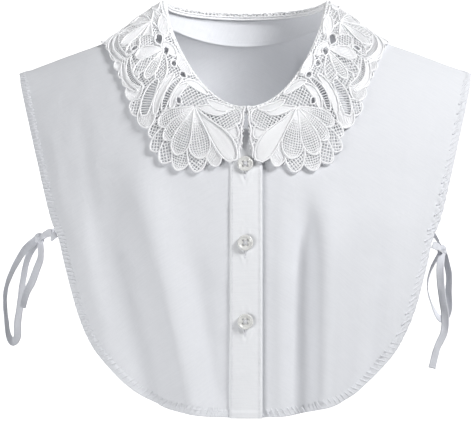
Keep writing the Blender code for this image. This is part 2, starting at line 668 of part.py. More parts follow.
class CollarSurface:
    """The underside of one collar half as a table of sections, and its flat pattern."""

    def __init__(self, side):
        self.side = side
        angles = np.linspace(math.pi / 2, -math.pi / 2, 400)
        ring = np.array([fold_point(angle) for angle in angles])
        run = lengths(ring)
        self.fold_length = run[-1]
        shares = np.linspace(0, 1, STATIONS)
        at = np.interp(shares, run / run[-1], angles)
        edge = np.array([self.edge_point(row) for row in COLLAR_EDGE])
        marks = [row["share"] for row in COLLAR_EDGE]
        edge_x = self.eased(shares, marks, edge[:, 0])
        edge_turn = self.eased(shares, marks, edge[:, 1])
        sections = [
            self.section(ring_frame(angle, side), side * x, turn)
            for angle, x, turn in zip(at, edge_x, edge_turn)
        ]
        self.widths = np.array([lengths(section)[-1] for section in sections])
        steps = np.linspace(0, 1, SECTION_STEPS)
        self.table = np.array([
            [np.interp(steps, lengths(s) / lengths(s)[-1], s[:, k]) for k in range(3)]
            for s in sections
        ]).transpose(0, 2, 1)
        along = np.gradient(self.table, axis=0)
        out = np.gradient(self.table, axis=1)
        normal = np.cross(out, along) * side
        self.normals = normal / np.linalg.norm(normal, axis=-1, keepdims=True)
        self.flatten()

    @staticmethod
    def edge_point(row):
        """Where the outer edge lands, as (x, turn) on the wearer's left side."""
        if row["face"] == "ridge":
            return row["x"] * MM, 0.0
        return row["x"] * MM, float(turn_at_height(row["x"] * MM, row["z"] * MM, row["face"]))

    @staticmethod
    def eased(at, marks, values):
        """Smooth values between the rows of the edge table."""
        curve = smooth_line(np.column_stack([marks, values]), 12)
        return np.interp(at, curve[:, 0], curve[:, 1])

    @staticmethod
    def section(station, edge_x, edge_turn):
        """The collar's underside from the inner edge, over the fold and down to the outer edge."""
        rise, out = station["rise"], station["out"]
        centre = station["fold"] + out * CLOTH / 2 - rise * ROLL_RADIUS
        points = [centre - out * ROLL_RADIUS - rise * ROLL_LEG * (1 - k / 3) for k in range(3)]
        for angle in np.linspace(math.pi, math.pi - ROLL_ARC, 9):
            points.append(centre + ROLL_RADIUS * (math.cos(angle) * out + math.sin(angle) * rise))
        top = points[-1]
        seam_normal = skin_normals(station["x"], station["turn"])
        height = float(np.linalg.norm(station["fold"] - station["seam"]))
        bulge = STAND_CLEAR + height * max(0.0, -float(rise @ seam_normal))
        for share in np.linspace(0, 1, 40)[1:]:
            x = station["x"] + (edge_x - station["x"]) * share
            turn = station["turn"] + (edge_turn - station["turn"]) * share
            normal = skin_normals(x, turn)
            near = math.exp(-((x / (OVERLAP + 6 * MM)) ** 4))
            base = skin(x, turn) + normal * (COLLAR_LIFT + PLACKET_LIFT * near)
            start = skin(station["x"], station["turn"])
            keep = (1 - share) ** FALL_POWER
            swell = 1 - (1 - min(share / SWELL_AT, 1.0)) ** 2
            swell *= 0.5 + 0.5 * math.cos(math.pi * max(share - SWELL_AT, 0.0) / (1 - SWELL_AT))
            blend = keep * (top - start) + (1 - keep) * (base - skin(x, turn))
            points.append(skin(x, turn) + blend + out * bulge * swell)
        return np.array(points)

    def flatten(self):
        """The flat pattern: the fold line as a plane curve whose sections fan out as the real ones do."""
        middle = self.table[:, SECTION_STEPS // 2]
        inner = self.table[:, 4]
        run_middle = np.diff(lengths(middle))
        run_inner = np.diff(lengths(inner))
        reach = 0.5 * (self.widths[1:] + self.widths[:-1]) * (0.5 - 4 / SECTION_STEPS)
        bend = (run_middle - run_inner) / reach
        self.heading = np.concatenate([[0], np.cumsum(bend)])
        mean = 0.5 * (self.heading[1:] + self.heading[:-1])
        steps = np.column_stack([np.cos(mean), np.sin(mean)]) * run_inner[:, None]
        self.base = np.vstack([[0, 0], np.cumsum(steps, axis=0)])
        self.outward = np.column_stack([np.sin(self.heading), -np.cos(self.heading)])
        self.along = np.concatenate([[0], np.cumsum(run_inner)])
        self.length = self.along[-1]

    def flat(self, along, out):
        """Flat pattern point at a distance along the fold and out from the inner edge."""
        place = np.array([np.interp(along, self.along, self.base[:, k]) for k in range(2)]).T
        outward = np.array([np.interp(along, self.along, self.outward[:, k]) for k in range(2)]).T
        return place + outward * np.asarray(out)[..., None]

    def turned(self, along, degrees):
        """The flat direction turned this far from straight out, and the one square to it."""
        outward = [float(np.interp(along, self.along, self.outward[:, k])) for k in range(2)]
        turn = math.radians(degrees)
        axis = np.array([
            outward[0] * math.cos(turn) - outward[1] * math.sin(turn),
            outward[0] * math.sin(turn) + outward[1] * math.cos(turn),
        ])
        return axis, np.array([-axis[1], axis[0]])

    def unflat(self, points):
        """Distance along the fold and out, of flat pattern points."""
        offset = points[:, None, :] - self.base[None]
        tangent = np.column_stack([-self.outward[:, 1], self.outward[:, 0]])
        ahead = np.einsum("pkc,kc->pk", offset, tangent)
        out = np.einsum("pkc,kc->pk", offset, self.outward)
        cross = (ahead[:, :-1] >= 0) & (ahead[:, 1:] < 0)
        edge = np.where(ahead[:, 0] < 0, 0, STATIONS - 2)
        first = np.where(cross.any(axis=1), cross.argmax(axis=1), edge)
        rows = np.arange(len(points))
        a, b = ahead[rows, first], ahead[rows, first + 1]
        t = np.clip(a / np.where(np.abs(a - b) < 1e-12, 1, a - b), 0, 1)
        along = self.along[first] * (1 - t) + self.along[first + 1] * t
        return along, out[rows, first] * (1 - t) + out[rows, first + 1] * t

    def place(self, along, out):
        """Points and normals of the underside."""
        i = np.interp(along, self.along, np.arange(STATIONS))
        width = np.interp(along, self.along, self.widths)
        j = np.clip(out / width, 0, 1) * (SECTION_STEPS - 1)
        i0, j0 = np.minimum(i.astype(int), STATIONS - 2), np.minimum(j.astype(int), SECTION_STEPS - 2)
        s, t = (i - i0)[:, None], (j - j0)[:, None]

        def mix(table):
            low = table[i0, j0] * (1 - s) + table[i0 + 1, j0] * s
            high = table[i0, j0 + 1] * (1 - s) + table[i0 + 1, j0 + 1] * s
            return low * (1 - t) + high * t

        normals = mix(self.normals)
        return mix(self.table), normals / np.linalg.norm(normals, axis=1, keepdims=True)


def inside(points, polygon):
    """Which of the points lie inside a closed polygon."""
    x, y = points[:, 0][:, None], points[:, 1][:, None]
    x0, y0 = polygon[:, 0][None], polygon[:, 1][None]
    x1, y1 = np.roll(polygon[:, 0], -1)[None], np.roll(polygon[:, 1], -1)[None]
    crosses = (y0 > y) != (y1 > y)
    slope = (x1 - x0) / np.where(y1 == y0, 1e-12, y1 - y0)
    return (crosses & (x < x0 + slope * (y - y0))).sum(axis=1) % 2 == 1


def collar_outline(surface):
    """Flat outline of a collar half: inner edge, back seam, scalloped outer edge, front end."""
    first, last = CENTRE_GAP / 2, surface.length - SEAM_BACK_GAP / 2
    inner = [(a, 0.0) for a in np.linspace(first, last, 34)]
    back_width = float(np.interp(last, surface.along, surface.widths))
    depth = SCALLOPS[-1][1] * MM
    back = [(last, w) for w in ROLL_ROWS]
    back += [(last, w) for w in np.linspace(ROLL_ROWS[-1], back_width - depth, 12)[1:]]
    outer = []
    scale = surface.length / (SCALLOPS[-1][0] * MM)
    marks = [mark * MM * scale for mark, _ in SCALLOPS]
    for k in range(len(marks) - 1, 0, -1):
        start, stop = marks[k], marks[k - 1]
        skipped = 1 if k == len(marks) - 1 else 0
        for t in np.linspace(0, 1, LOBE_POINTS, endpoint=False)[skipped:]:
            along = start + (stop - start) * t
            width = float(np.interp(along, surface.along, surface.widths))
            depth = SCALLOPS[k - 1][1] * MM
            outer.append((along, width - depth * (1 - math.sin(math.pi * t) ** 0.7)))
    front_width = surface.widths[0] - SCALLOPS[0][1] * MM - ROLL_ROWS[-1]
    front = []
    for lobe in FRONT_LOBES:
        for t in np.linspace(0, 1, 5, endpoint=False):
            share = lobe["start"] + (lobe["stop"] - lobe["start"]) * t
            notch = FRONT_LOBE_DEPTH * (1 - math.sin(math.pi * t) ** 0.7)
            front.append((first + lobe["inset"] * MM + notch, ROLL_ROWS[-1] + front_width * share))
    front += [(first, w) for w in ROLL_ROWS[::-1]]
    return np.array(inner + back + outer + front)


def teardrop(surface, row, count):
    """Flat outline of one open gap, pointed at one end."""
    centre = surface.flat(np.array([row["along"] * MM]), np.array([row["out"] * MM]))[0]
    axis, side = surface.turned(row["along"] * MM, row["turn"])
    made = []
    for angle in np.linspace(0, 2 * math.pi, count, endpoint=False):
        taper = 1 - 0.35 * (1 + math.cos(angle)) / 2
        made.append(centre + axis * math.cos(angle) * row["length"] * MM / 2
                    + side * math.sin(angle) * taper * row["width"] * MM / 2)
    return np.array(made)


def petal(surface, along, out, turn, length, width):
    """Rim and middle line of one petal on the flat pattern, from its foot at (along, out)."""
    foot = surface.flat(np.array([along]), np.array([out]))[0]
    axis, side = surface.turned(along, turn)
    rim = []
    for t in np.linspace(PETAL_START, 1.0, PETAL_STEPS):
        half = width / 2 * math.sin(math.pi * min(t, 0.999) ** 1.5) ** 0.6
        rim += [foot + axis * length * t + side * half, foot + axis * length * t - side * half]
    middle = [foot + axis * length * t for t in PETAL_VEIN]
    return rim, middle


def raised_points(surface):
    """Points of the raised petals and leaves, each with its height over the lace ground."""
    rims, middles = [], []
    for unit in PALMETTES:
        for turn in np.linspace(unit["first"], unit["last"], unit["petals"]):
            rim, middle = petal(surface, unit["along"] * MM, unit["out"] * MM, turn,
                                unit["length"] * MM, unit["width"] * MM)
            rims += rim
            middles += middle
    for row in LEAVES:
        rim, middle = petal(surface, row["along"] * MM, row["out"] * MM, row["turn"],
                            row["length"] * MM, row["width"] * MM)
        rims += rim
        middles += middle
    return [(point, LACE_RAISE) for point in rims] + [(point, 0.0) for point in middles]


def lace_collar(name, side):
    """One half of the lace collar, cut through at its open gaps and raised at its petals."""
    surface = CollarSurface(side)
    outline = collar_outline(surface)
    border = surface.flat(outline[:, 0], outline[:, 1])
    gaps = [teardrop(surface, row, GAP_POINTS) for row in GAPS]
    points, heights = list(border), [LACE_RAISE / 2] * len(border)
    edges = [(k, (k + 1) % len(border)) for k in range(len(border))]
    for gap in gaps:
        start = len(points)
        points += list(gap)
        heights += [LACE_RAISE / 2] * len(gap)
        edges += [(start + k, start + (k + 1) % len(gap)) for k in range(len(gap))]
    fixed = len(points)
    wanted = []
    for out in ROLL_ROWS:
        wanted += [(surface.flat(np.array([a]), np.array([out]))[0], 0.0, ROLL_ROW_GAP)
                   for a in np.linspace(2 * MM, surface.length - 2 * MM, 34)]
    wanted += [(point, height, RAISED_GAP) for point, height in raised_points(surface)]
    low, high = border.min(axis=0), border.max(axis=0)
    row_step = LACE_SPACING * math.sqrt(3) / 2
    for i in range(int((high[1] - low[1]) / row_step) + 1):
        for j in range(int((high[0] - low[0]) / LACE_SPACING) + 1):
            shift = LACE_SPACING / 2 * (i % 2)
            place = np.array([low[0] + j * LACE_SPACING + shift, low[1] + i * row_step])
            wanted.append((place, LACE_RAISE * 0.35, LACE_SPACING * 0.72))
    spots = np.array([item[0] for item in wanted])
    keep = inside(spots, border)
    for gap in gaps:
        keep &= ~inside(spots, gap)
    taken = np.array(points)
    roll_end = ROLL_ROWS[-1] + 1.5 * MM
    _, outs = surface.unflat(spots)
    for spot, (place, height, clear), good, out in zip(spots, wanted, keep, outs):
        if not good or (clear > ROLL_ROW_GAP and out < roll_end):
            continue
        if np.min(np.hypot(*(taken - spot).T)) < clear:
            continue
        taken = np.vstack([taken, spot])
        heights.append(height)
    result = delaunay_2d_cdt([Vector(p) for p in taken], edges, [], 0, 1e-7)
    flat = np.array([tuple(vert) for vert in result[0]])
    faces = [tuple(face) for face in result[2]]
    centres = np.array([flat[list(face)].mean(axis=0) for face in faces])
    good = inside(centres, border)
    for gap in gaps:
        good &= ~inside(centres, gap)
    faces = [face for face, kept in zip(faces, good) if kept]
    source = [origin[0] if origin else 0 for origin in result[3]]
    lift = np.array(heights)[source]
    along, out = surface.unflat(flat)
    under, normals = surface.place(along, out)
    return wall(name, under, faces, normals, 0.0, LACE + lift, LACE_THREAD)


def button(name, height):
    """A four-hole button with a rolled rim, lying on the placket."""
    turn = float(turn_at_height(abs(BUTTON_X), height, "front"))
    seat, normal = skin(BUTTON_X, turn), skin_normals(BUTTON_X, turn)
    origin = seat + normal * (2 * CLOTH + 2 * SEAM_GAP)
    across = np.cross(np.array([0, 0, 1.0]), normal) * -1
    across /= np.linalg.norm(across)
    up = np.cross(normal, across)
    rings = [
        {"share": 1.00, "height": 0.70},
        {"share": 0.90, "height": 1.00},
        {"share": 0.74, "height": 0.66},
    ]
    spots, tops, edges = [], [], []
    for ring in rings:
        start = len(spots)
        for k in range(BUTTON_SEGMENTS):
            angle = 2 * math.pi * k / BUTTON_SEGMENTS
            radius = BUTTON_RADIUS * ring["share"]
            spots.append((radius * math.cos(angle), radius * math.sin(angle)))
            tops.append(ring["height"] * BUTTON_THICKNESS)
            edges.append((start + k, start + (k + 1) % BUTTON_SEGMENTS))
    holes = []
    for quarter in range(4):
        middle = math.pi / 4 + quarter * math.pi / 2
        start = len(spots)
        reach = BUTTON_HOLE_OFFSET * math.sqrt(2)
        ring = []
        for k in range(6):
            angle = k * math.pi / 3
            ring.append((
                reach * math.cos(middle) + BUTTON_HOLE_RADIUS * math.cos(angle),
                reach * math.sin(middle) + BUTTON_HOLE_RADIUS * math.sin(angle),
            ))
            edges.append((start + k, start + (k + 1) % 6))
        spots += ring
        tops += [0.6 * BUTTON_THICKNESS] * 6
        holes.append(np.array(ring))
    result = delaunay_2d_cdt([Vector(spot) for spot in spots], edges, [], 0, 1e-7)
    flat = np.array([tuple(vert) for vert in result[0]])
    centres = np.array([flat[list(face)].mean(axis=0) for face in result[2]])
    good = np.ones(len(centres), bool)
    for hole in holes:
        good &= ~inside(centres, hole)
    faces = [tuple(face) for face, kept in zip(result[2], good) if kept]
    points = origin + flat[:, :1] * across + flat[:, 1:] * up
    normals = np.tile(normal, (len(points), 1))
    return wall(name, points, faces, normals, 0.0, np.array(tops), BUTTON)


def knot(name):
    """The small knot that holds the tapes of one side."""
    row = KNOTS[name]
    shape = bmesh.new()
    bmesh.ops.create_uvsphere(shape, u_segments=12, v_segments=8, radius=KNOT_RADIUS)
    for vert in shape.verts:
        waist = 1 - 0.16 * math.exp(-((vert.co.z / (1.4 * MM)) ** 2))
        vert.co = Vector((vert.co.x * waist, vert.co.y * waist, vert.co.z))
        vert.co += Vector((row["x"], row["y"], row["z"])) * MM
    mesh = bpy.data.meshes.new(name)
    shape.to_mesh(mesh)
    shape.free()
    mesh.materials.append(finish(name, TAPE))
    mesh.shade_smooth()
    made = bpy.data.objects.new(name, mesh)
    bpy.context.scene.collection.objects.link(made)
    return made


def edge_seat(side, face, z):
    """A point just clear of a panel's side edge, the way out of the edge and the panel's normal."""
    inset = 0.0 if face == "front" else BACK_INSET
    outline = side_outline(side, face, inset)
    rim = skin(outline[:, 0], outline[:, 1])
    order = np.argsort(rim[:, 2])
    at = np.array([np.interp(z, rim[order, 2], outline[order, k]) for k in range(2)])
    normal = skin_normals(at[0], at[1])
    above, below = (
        np.array([np.interp(z + step, rim[order, 2], rim[order, k]) for k in range(3)])
        for step in (TAPE_WIDTH, -TAPE_WIDTH)
    )
    edge = skin(at[0], at[1])
    out = np.cross(above - below, normal)
    out /= np.linalg.norm(out)
    if out[0] * side < 0:
        out = -out
    return edge + normal * CLOTH + out * TAPE_SEAT_GAP, out, normal


def tape(name):
    """One flat stretch of a tie, from the panel's edge or the knot along its route."""
    rows = TIES[name]
    side = -1 if "left" in name else 1
    centre = KNOTS[f"tie_{'left' if side < 0 else 'right'}_knot"]
    middle = np.array([centre["x"], centre["y"], centre["z"]]) * MM
    route = np.array([(row["x"], row["y"], row["z"]) for row in rows]) * MM
    turns = [math.radians(row["turn"]) for row in rows]
    ends = [-1] if name.endswith("run") else [0, -1] if name.endswith("loop") else [0]
    for end in ends:
        away = route[end] - middle
        route[end] = middle + away / np.linalg.norm(away) * (KNOT_RADIUS + SEAM_GAP)
    if name.endswith("run"):
        face = "front" if "front" in name else "back"
        route[0], out, seat_way = edge_seat(side, face, route[0][2])
        route = np.vstack([route[:1], route[0] + out * 5 * MM, route[1:]])
        turns.insert(1, turns[0])
    line = smooth_line(route, 2)
    shares = np.linspace(0, 1, len(line))
    turned = np.interp(shares, np.linspace(0, 1, len(turns)), turns)
    face_ways = np.column_stack([np.sin(turned), -np.cos(turned), np.zeros(len(line))])
    tangents = np.gradient(line, axis=0)
    for end in ends:
        tangents[end] = (line[end] - middle) * (1 if end == 0 else -1)
    if name.endswith("run"):
        tangents[0] = out
        seated = np.clip(1 - 2 * shares, 0, 1)[:, None]
        if seat_way @ face_ways[0] < 0:
            face_ways = -face_ways
        face_ways = seat_way * seated + face_ways * (1 - seated)
    points, faces = [], []
    for place, tangent, face_way in zip(line, tangents, face_ways):
        width = np.cross(tangent, face_way)
        width /= np.linalg.norm(width)
        thick = np.cross(width, tangent)
        thick /= np.linalg.norm(thick)
        half_w, half_t = width * TAPE_WIDTH / 2, thick * TAPE_THICKNESS / 2
        points += [place - half_w - half_t, place + half_w - half_t,
                   place + half_w + half_t, place - half_w + half_t]
    for k in range(len(line) - 1):
        for j in range(4):
            a, b = 4 * k + j, 4 * k + (j + 1) % 4
            faces.append((a, b, b + 4, a + 4))
    faces.append((3, 2, 1, 0))
    last = 4 * (len(line) - 1)
    faces.append((last, last + 1, last + 2, last + 3))
    made = add_object(name, np.array(points), faces, TAPE)
    shape = bmesh.new()
    shape.from_mesh(made.data)
    bmesh.ops.recalc_face_normals(shape, faces=shape.faces)
    shape.to_mesh(made.data)
    shape.free()
    return made


def main():
    """Builds every piece."""
    clear_scene()
    front_panel("front_panel_right", -1, OVERLAP, False)
    front_panel("front_panel_left", 1, UNDERLAP, True)
    back_panel("back_panel")
    placket("front_placket")
    neck_stand("neck_stand")
    lace_collar("lace_collar_right", -1)
    lace_collar("lace_collar_left", 1)
    for number, height in enumerate(BUTTON_HEIGHTS, start=1):
        button(f"button_{number}", height)
    for name in KNOTS:
        knot(name)
    for name in TIES:
        tape(name)


main()
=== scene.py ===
"""The looks of the lace collar dickey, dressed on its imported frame.

Metres, +Z up. The front faces -Y, the wearer's left side is at +X, and the origin is the centre
of the neck opening at the height of the shoulder neck points. The tables of the lace are in mm on
the plane of the cut lace: x starts at the centre front along the fold, and the lace lies at negative y.
"""

import logging
import math
from collections.abc import Callable, Sequence
from dataclasses import dataclass
from enum import Enum

import bpy
import numpy as np
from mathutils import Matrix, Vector, noise


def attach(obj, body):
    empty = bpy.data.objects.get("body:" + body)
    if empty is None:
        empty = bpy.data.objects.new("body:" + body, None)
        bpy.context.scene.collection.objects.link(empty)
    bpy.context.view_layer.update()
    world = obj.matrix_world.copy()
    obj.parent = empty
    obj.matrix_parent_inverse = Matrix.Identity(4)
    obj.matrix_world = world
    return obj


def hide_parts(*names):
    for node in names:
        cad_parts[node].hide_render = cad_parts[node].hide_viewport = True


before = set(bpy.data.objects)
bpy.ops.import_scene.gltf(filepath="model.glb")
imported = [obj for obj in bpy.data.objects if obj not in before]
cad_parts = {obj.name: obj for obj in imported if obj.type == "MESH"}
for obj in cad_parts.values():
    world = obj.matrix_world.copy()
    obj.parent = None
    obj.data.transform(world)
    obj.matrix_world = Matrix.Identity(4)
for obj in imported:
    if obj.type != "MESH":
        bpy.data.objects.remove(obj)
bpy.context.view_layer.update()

log = logging.getLogger("dickey")
MM = 0.001
ROOT = "root"

# The seam gap between pieces, the turned hem and the cloth of the solids
SEAM_GAP = 0.3 * MM
HEM_WIDTH = 5.0 * MM
SOLID_CLOTH = 1.2 * MM
OVERLAP = 12 * MM
UNDERLAP = 10.5 * MM
UNDERLAP_EASE = 16 * MM
SEED = 11


class Side(Enum):
    """The wearer's right and left, with the sign of X there."""

    RIGHT = -1
    LEFT = 1


class Face(Enum):
    """Front and back of the body, with the sign of Y there."""

    FRONT = -1
    BACK = 1


class Fill(Enum):
    """How one part of the lace is worked."""

    OPEN = "open"
    NET = "net"
    ROWS = "rows"
    RIBS = "ribs"
    SATIN = "satin"
    LADDER = "ladder"


@dataclass(frozen=True)
class Fold:
    """A fold of the cloth in front view, in mm: its line, half width and how far it stands out."""

    x: float
    z: float
    end_x: float
    end_z: float
    half_width: float
    height: float
    fade: float = 55.0


FRONT_FOLDS = (
    Fold(-84, -92, -36, -296, 17, 6.5),
    Fold(-103, -125, -60, -290, 13, -6.0),
    Fold(-134, -120, -92, -275, 14, 3.5),
    Fold(-47, -150, -19, -296, 12, -3.5),
    Fold(41, -122, 41, -296, 9, -5.5),
    Fold(65, -125, 58, -292, 15, 6.5),
    Fold(99, -140, 80, -283, 14, -4.0),
    Fold(124, -120, 104, -258, 13, 3.0),
)
BACK_FOLDS = (
    Fold(-92, -90, -70, -288, 17, 5.5),
    Fold(-58, -110, -40, -293, 14, -4.5),
    Fold(-8, -120, 2, -296, 18, 4.0),
    Fold(47, -105, 44, -293, 13, -5.0),
    Fold(83, -100, 78, -285, 16, 5.0),
)
# Small creases over the large folds; the back's are like the front's and uneven in the same way.
FRONT_CREASES = (
    Fold(-128, -60, -112, -150, 7, -0.8, 25),
    Fold(-150, -75, -128, -175, 6, 0.7, 20),
    Fold(-84, -110, -38, -294, 9, 0.5, 40),
    Fold(-103, -125, -60, -290, 13, 2.2, 45),
    Fold(-70, -175, -47, -290, 5, -0.7, 30),
    Fold(-27, -190, -16, -292, 5, 0.6, 30),
    Fold(22, -170, 24, -292, 6, 0.7, 30),
    Fold(44, -120, 46, -294, 7.0, -2.8, 35),
    Fold(60, -122, 58, -294, 9, 1.4, 35),
    Fold(76, -160, 72, -288, 6, -0.7, 30),
    Fold(88, -120, 84, -230, 8, 0.9, 30),
    Fold(112, -90, 116, -200, 7, -0.8, 25),
    Fold(140, -70, 130, -180, 7, 0.7, 20),
    Fold(154, -60, 140, -140, 5, -0.5, 20),
)
BACK_CREASES = (
    Fold(-135, -60, -118, -190, 8, -0.8, 25),
    Fold(-75, -120, -58, -270, 6, 0.7, 30),
    Fold(-30, -90, -24, -250, 7, -0.6, 30),
    Fold(20, -100, 22, -280, 6, 0.7, 30),
    Fold(64, -130, 62, -285, 5, -0.8, 25),
    Fold(110, -90, 108, -220, 7, 0.8, 25),
    Fold(142, -70, 128, -170, 6, -0.6, 20),
)


def fold_height(x: np.ndarray, z: np.ndarray, folds: Sequence[Fold]) -> np.ndarray:
    """How far the cloth stands out at points of the front view.

    Args:
        x, z: the points, in metres.
        folds: the folds that are added up.

    Returns:
        The height at each point, in metres.
    """
    total = np.zeros(np.broadcast(x, z).shape)
    for row in folds:
        share = (z - row.z * MM) / ((row.end_z - row.z) * MM)
        line = row.x * MM + (row.end_x - row.x) * MM * share
        fade = np.clip((row.z * MM - z) / (row.fade * MM), 0, 1)
        across = (x - line) / (row.half_width * MM)
        total = total + row.height * MM * fade * fade * (3 - 2 * fade) * np.exp(-across * across)
    return total


def lengths(points: np.ndarray) -> np.ndarray:
    """Distance along a line of points, from 0."""
    return np.concatenate([[0], np.cumsum(np.linalg.norm(np.diff(points, axis=0), axis=1))])


def smooth_line(points: Sequence, samples: int) -> np.ndarray:
    """A Catmull-Rom curve through the points, with this many samples to each span."""
    points = np.asarray(points, float)
    ends = np.vstack([2 * points[0] - points[1], points, 2 * points[-1] - points[-2]])
    made = []
    for k in range(len(points) - 1):
        a, b, c, d = ends[k : k + 4]
        for t in np.linspace(0, 1, samples, endpoint=False):
            bend = (2 * a - 5 * b + 4 * c - d) * t * t + (3 * b - a - 3 * c + d) * t**3
            made.append(0.5 * (2 * b + (c - a) * t + bend))
    made.append(points[-1])
    return np.array(made)


def ease(values: np.ndarray) -> np.ndarray:
    """0 to 1 with a smooth start and end."""
    share = np.clip(values, 0, 1)
    return share * share * (3 - 2 * share)


@dataclass(frozen=True)
class Figure:
    """The general figure that the cloth lies on, and the cloth's own surface over it."""

    depth_front: float = 100 * MM
    depth_back: float = 98 * MM
    half_span: float = 195 * MM
    span_power: float = 2.4
    span_root: float = 0.6
    drop: float = 210 * MM
    roundness_front: float = 0.60
    roundness_back: float = 0.42
    ridge_top: float = 30.4 * MM
    ridge_slope: float = 0.385
    ridge_blend: float = 45 * MM

    def chest_depth(self, x: np.ndarray, deepest: float) -> np.ndarray:
        """Depth of the figure at its fullest, at a distance x from its middle."""
        reach = np.clip(np.abs(x) / self.half_span, 0, 0.995)
        return deepest * (1 - reach**self.span_power) ** self.span_root

    def ridge_height(self, x: np.ndarray) -> np.ndarray:
        """Height of the shoulder line, which rounds over the neck."""
        return self.ridge_top - self.ridge_slope * np.sqrt(np.asarray(x) ** 2 + self.ridge_blend**2)

    def skin(self, x: np.ndarray, turn: np.ndarray) -> np.ndarray:
        """Points of the cloth's surface.

        Args:
            x: distance from the middle.
            turn: 0 on the shoulder line, negative in front and positive behind, in radians.

        Returns:
            The points, with the large folds.
        """
        x, turn = np.broadcast_arrays(np.asarray(x, float), np.asarray(turn, float))
        swing = np.clip(np.abs(turn), 0, math.pi / 2)
        below = np.abs(turn) - swing
        front = -self.chest_depth(x, self.depth_front) * np.sin(swing) ** (2 * self.roundness_front)
        back = self.chest_depth(x, self.depth_back) * np.sin(swing) ** (2 * self.roundness_back)
        z = self.ridge_height(x) - self.drop * (1 - np.cos(swing)) - self.drop * below
        y = np.where(
            turn < 0, front - fold_height(x, z, FRONT_FOLDS), back + fold_height(x, z, BACK_FOLDS)
        )
        return np.stack([x, y, z], axis=-1)

    def normals(self, x: np.ndarray, turn: np.ndarray) -> np.ndarray:
        """Outward normals of the cloth's surface."""
        step = 0.004
        down = np.where(np.asarray(turn) < 0, -1.0, 1.0)
        near = np.where(np.abs(turn) < step, down * step, turn)
        along = self.skin(np.asarray(x) + step / 4, near) - self.skin(np.asarray(x) - step / 4, near)
        fall = self.skin(x, near + down * step / 2) - self.skin(x, near - down * step / 2)
        normal = np.cross(fall, along) * down[..., None] * -1
        normal = np.where(normal[..., 1:2] * down[..., None] < 0, -normal, normal)
        return normal / np.linalg.norm(normal, axis=-1, keepdims=True)

    def turn_at_height(self, x: np.ndarray, z: np.ndarray, face: Face) -> np.ndarray:
        """The turn of the figure's point with this x and z, on the front or the back."""
        drop = (self.ridge_height(x) - z) / self.drop
        size = np.where(drop < 1, np.arccos(np.clip(1 - drop, -1, 1)), math.pi / 2 + drop - 1)
        return size * face.value

    def turn_at_depth(self, x: float, y: float) -> float:
        """The turn of the figure's point above this x and y of the ground plan."""
        deepest = self.depth_front if y < 0 else self.depth_back
        roundness = self.roundness_front if y < 0 else self.roundness_back
        share = min(abs(y) / float(self.chest_depth(x, deepest)), 1.0)
        return math.copysign(math.asin(share ** (0.5 / roundness)), y)


@dataclass(frozen=True)
class Neck:
    """The neck seam and the ring where the collar folds over, by one angle: 90 degrees in front."""

    figure: Figure
    half_width: float = 65 * MM
    front_depth: float = 82 * MM
    back_depth: float = 53 * MM
    front_power: float = 2.2
    fold_half_width: float = 63 * MM
    fold_front_depth: float = 72 * MM
    fold_back_depth: float = 52 * MM
    fold_side_height: float = 18 * MM
    fold_front_fall: float = 87.5 * MM
    fold_back_fall: float = 5 * MM
    fold_fall_power: float = 1.45

    def seam_plan(self, angle: float) -> tuple[float, float]:
        """Ground plan of the neck seam."""
        c, s = math.cos(angle), math.sin(angle)
        if s <= 0:
            return self.half_width * c, -self.back_depth * s
        power = 2 / self.front_power
        return self.half_width * max(c, 0.0) ** power, -self.front_depth * s**power

    def fold(self, angle: float) -> np.ndarray:
        """The point where the collar folds over."""
        c, s = math.cos(angle), math.sin(angle)
        if s <= 0:
            height = self.fold_side_height + self.fold_back_fall * s
            return np.array([self.fold_half_width * c, -self.fold_back_depth * s, height])
        height = self.fold_side_height - self.fold_front_fall * s**self.fold_fall_power
        return np.array([self.fold_half_width * c, -self.fold_front_depth * s, height])

    def line(self, start: float, stop: float, count: int, side: Side) -> np.ndarray:
        """The neck seam as (x, turn) points between two angles, on one side."""
        made = []
        for angle in np.linspace(start, stop, count):
            x, y = self.seam_plan(angle)
            turn = self.figure.turn_at_depth(x, y) if abs(y) > 1e-9 else 0.0
            made.append((side.value * x, turn))
        return np.array(made)

    def station(self, angle: float, side: Side) -> dict:
        """Seam point, fold point and the unit vectors rise and out at one angle of the ring."""
        x, y = self.seam_plan(angle)
        turn = self.figure.turn_at_depth(x, y) if abs(y) > 1e-9 else 0.0
        seam, fold = self.figure.skin(x, turn), self.fold(angle)
        rise = (fold - seam) / np.linalg.norm(fold - seam)
        step = 0.01
        out = np.cross(rise, self.fold(angle + step) - self.fold(angle - step))
        out /= np.linalg.norm(out)
        if out @ np.array([math.cos(angle), -math.sin(angle), 0]) < 0:
            out = -out
        flip = np.array([side.value, 1, 1])
        places = {"seam": seam * flip, "fold": fold * flip, "rise": rise * flip, "out": out * flip}
        return {"x": side.value * x, "turn": turn, **places}


FIGURE = Figure()
NECK = Neck(FIGURE)


# Shader node groups and finishes


def new_group(name: str, kind: str, inputs: dict, outputs: dict) -> bpy.types.NodeTree:
    """A node group with its two end nodes.

    Args:
        name: the group's name.
        kind: its tree type.
        inputs: by socket name, the socket's type and its starting value, or None for no value.
        outputs: by socket name, the socket's type.

    Returns:
        The group.
    """
    tree = bpy.data.node_groups.new(name, kind)
    tree.nodes.new("NodeGroupInput")
    tree.nodes.new("NodeGroupOutput")
    for key, (sort, value) in inputs.items():
        made = tree.interface.new_socket(key, in_out="INPUT", socket_type="NodeSocket" + sort)
        if value is not None:
            made.default_value = value
    for key, sort in outputs.items():
        tree.interface.new_socket(key, in_out="OUTPUT", socket_type="NodeSocket" + sort)
    return tree


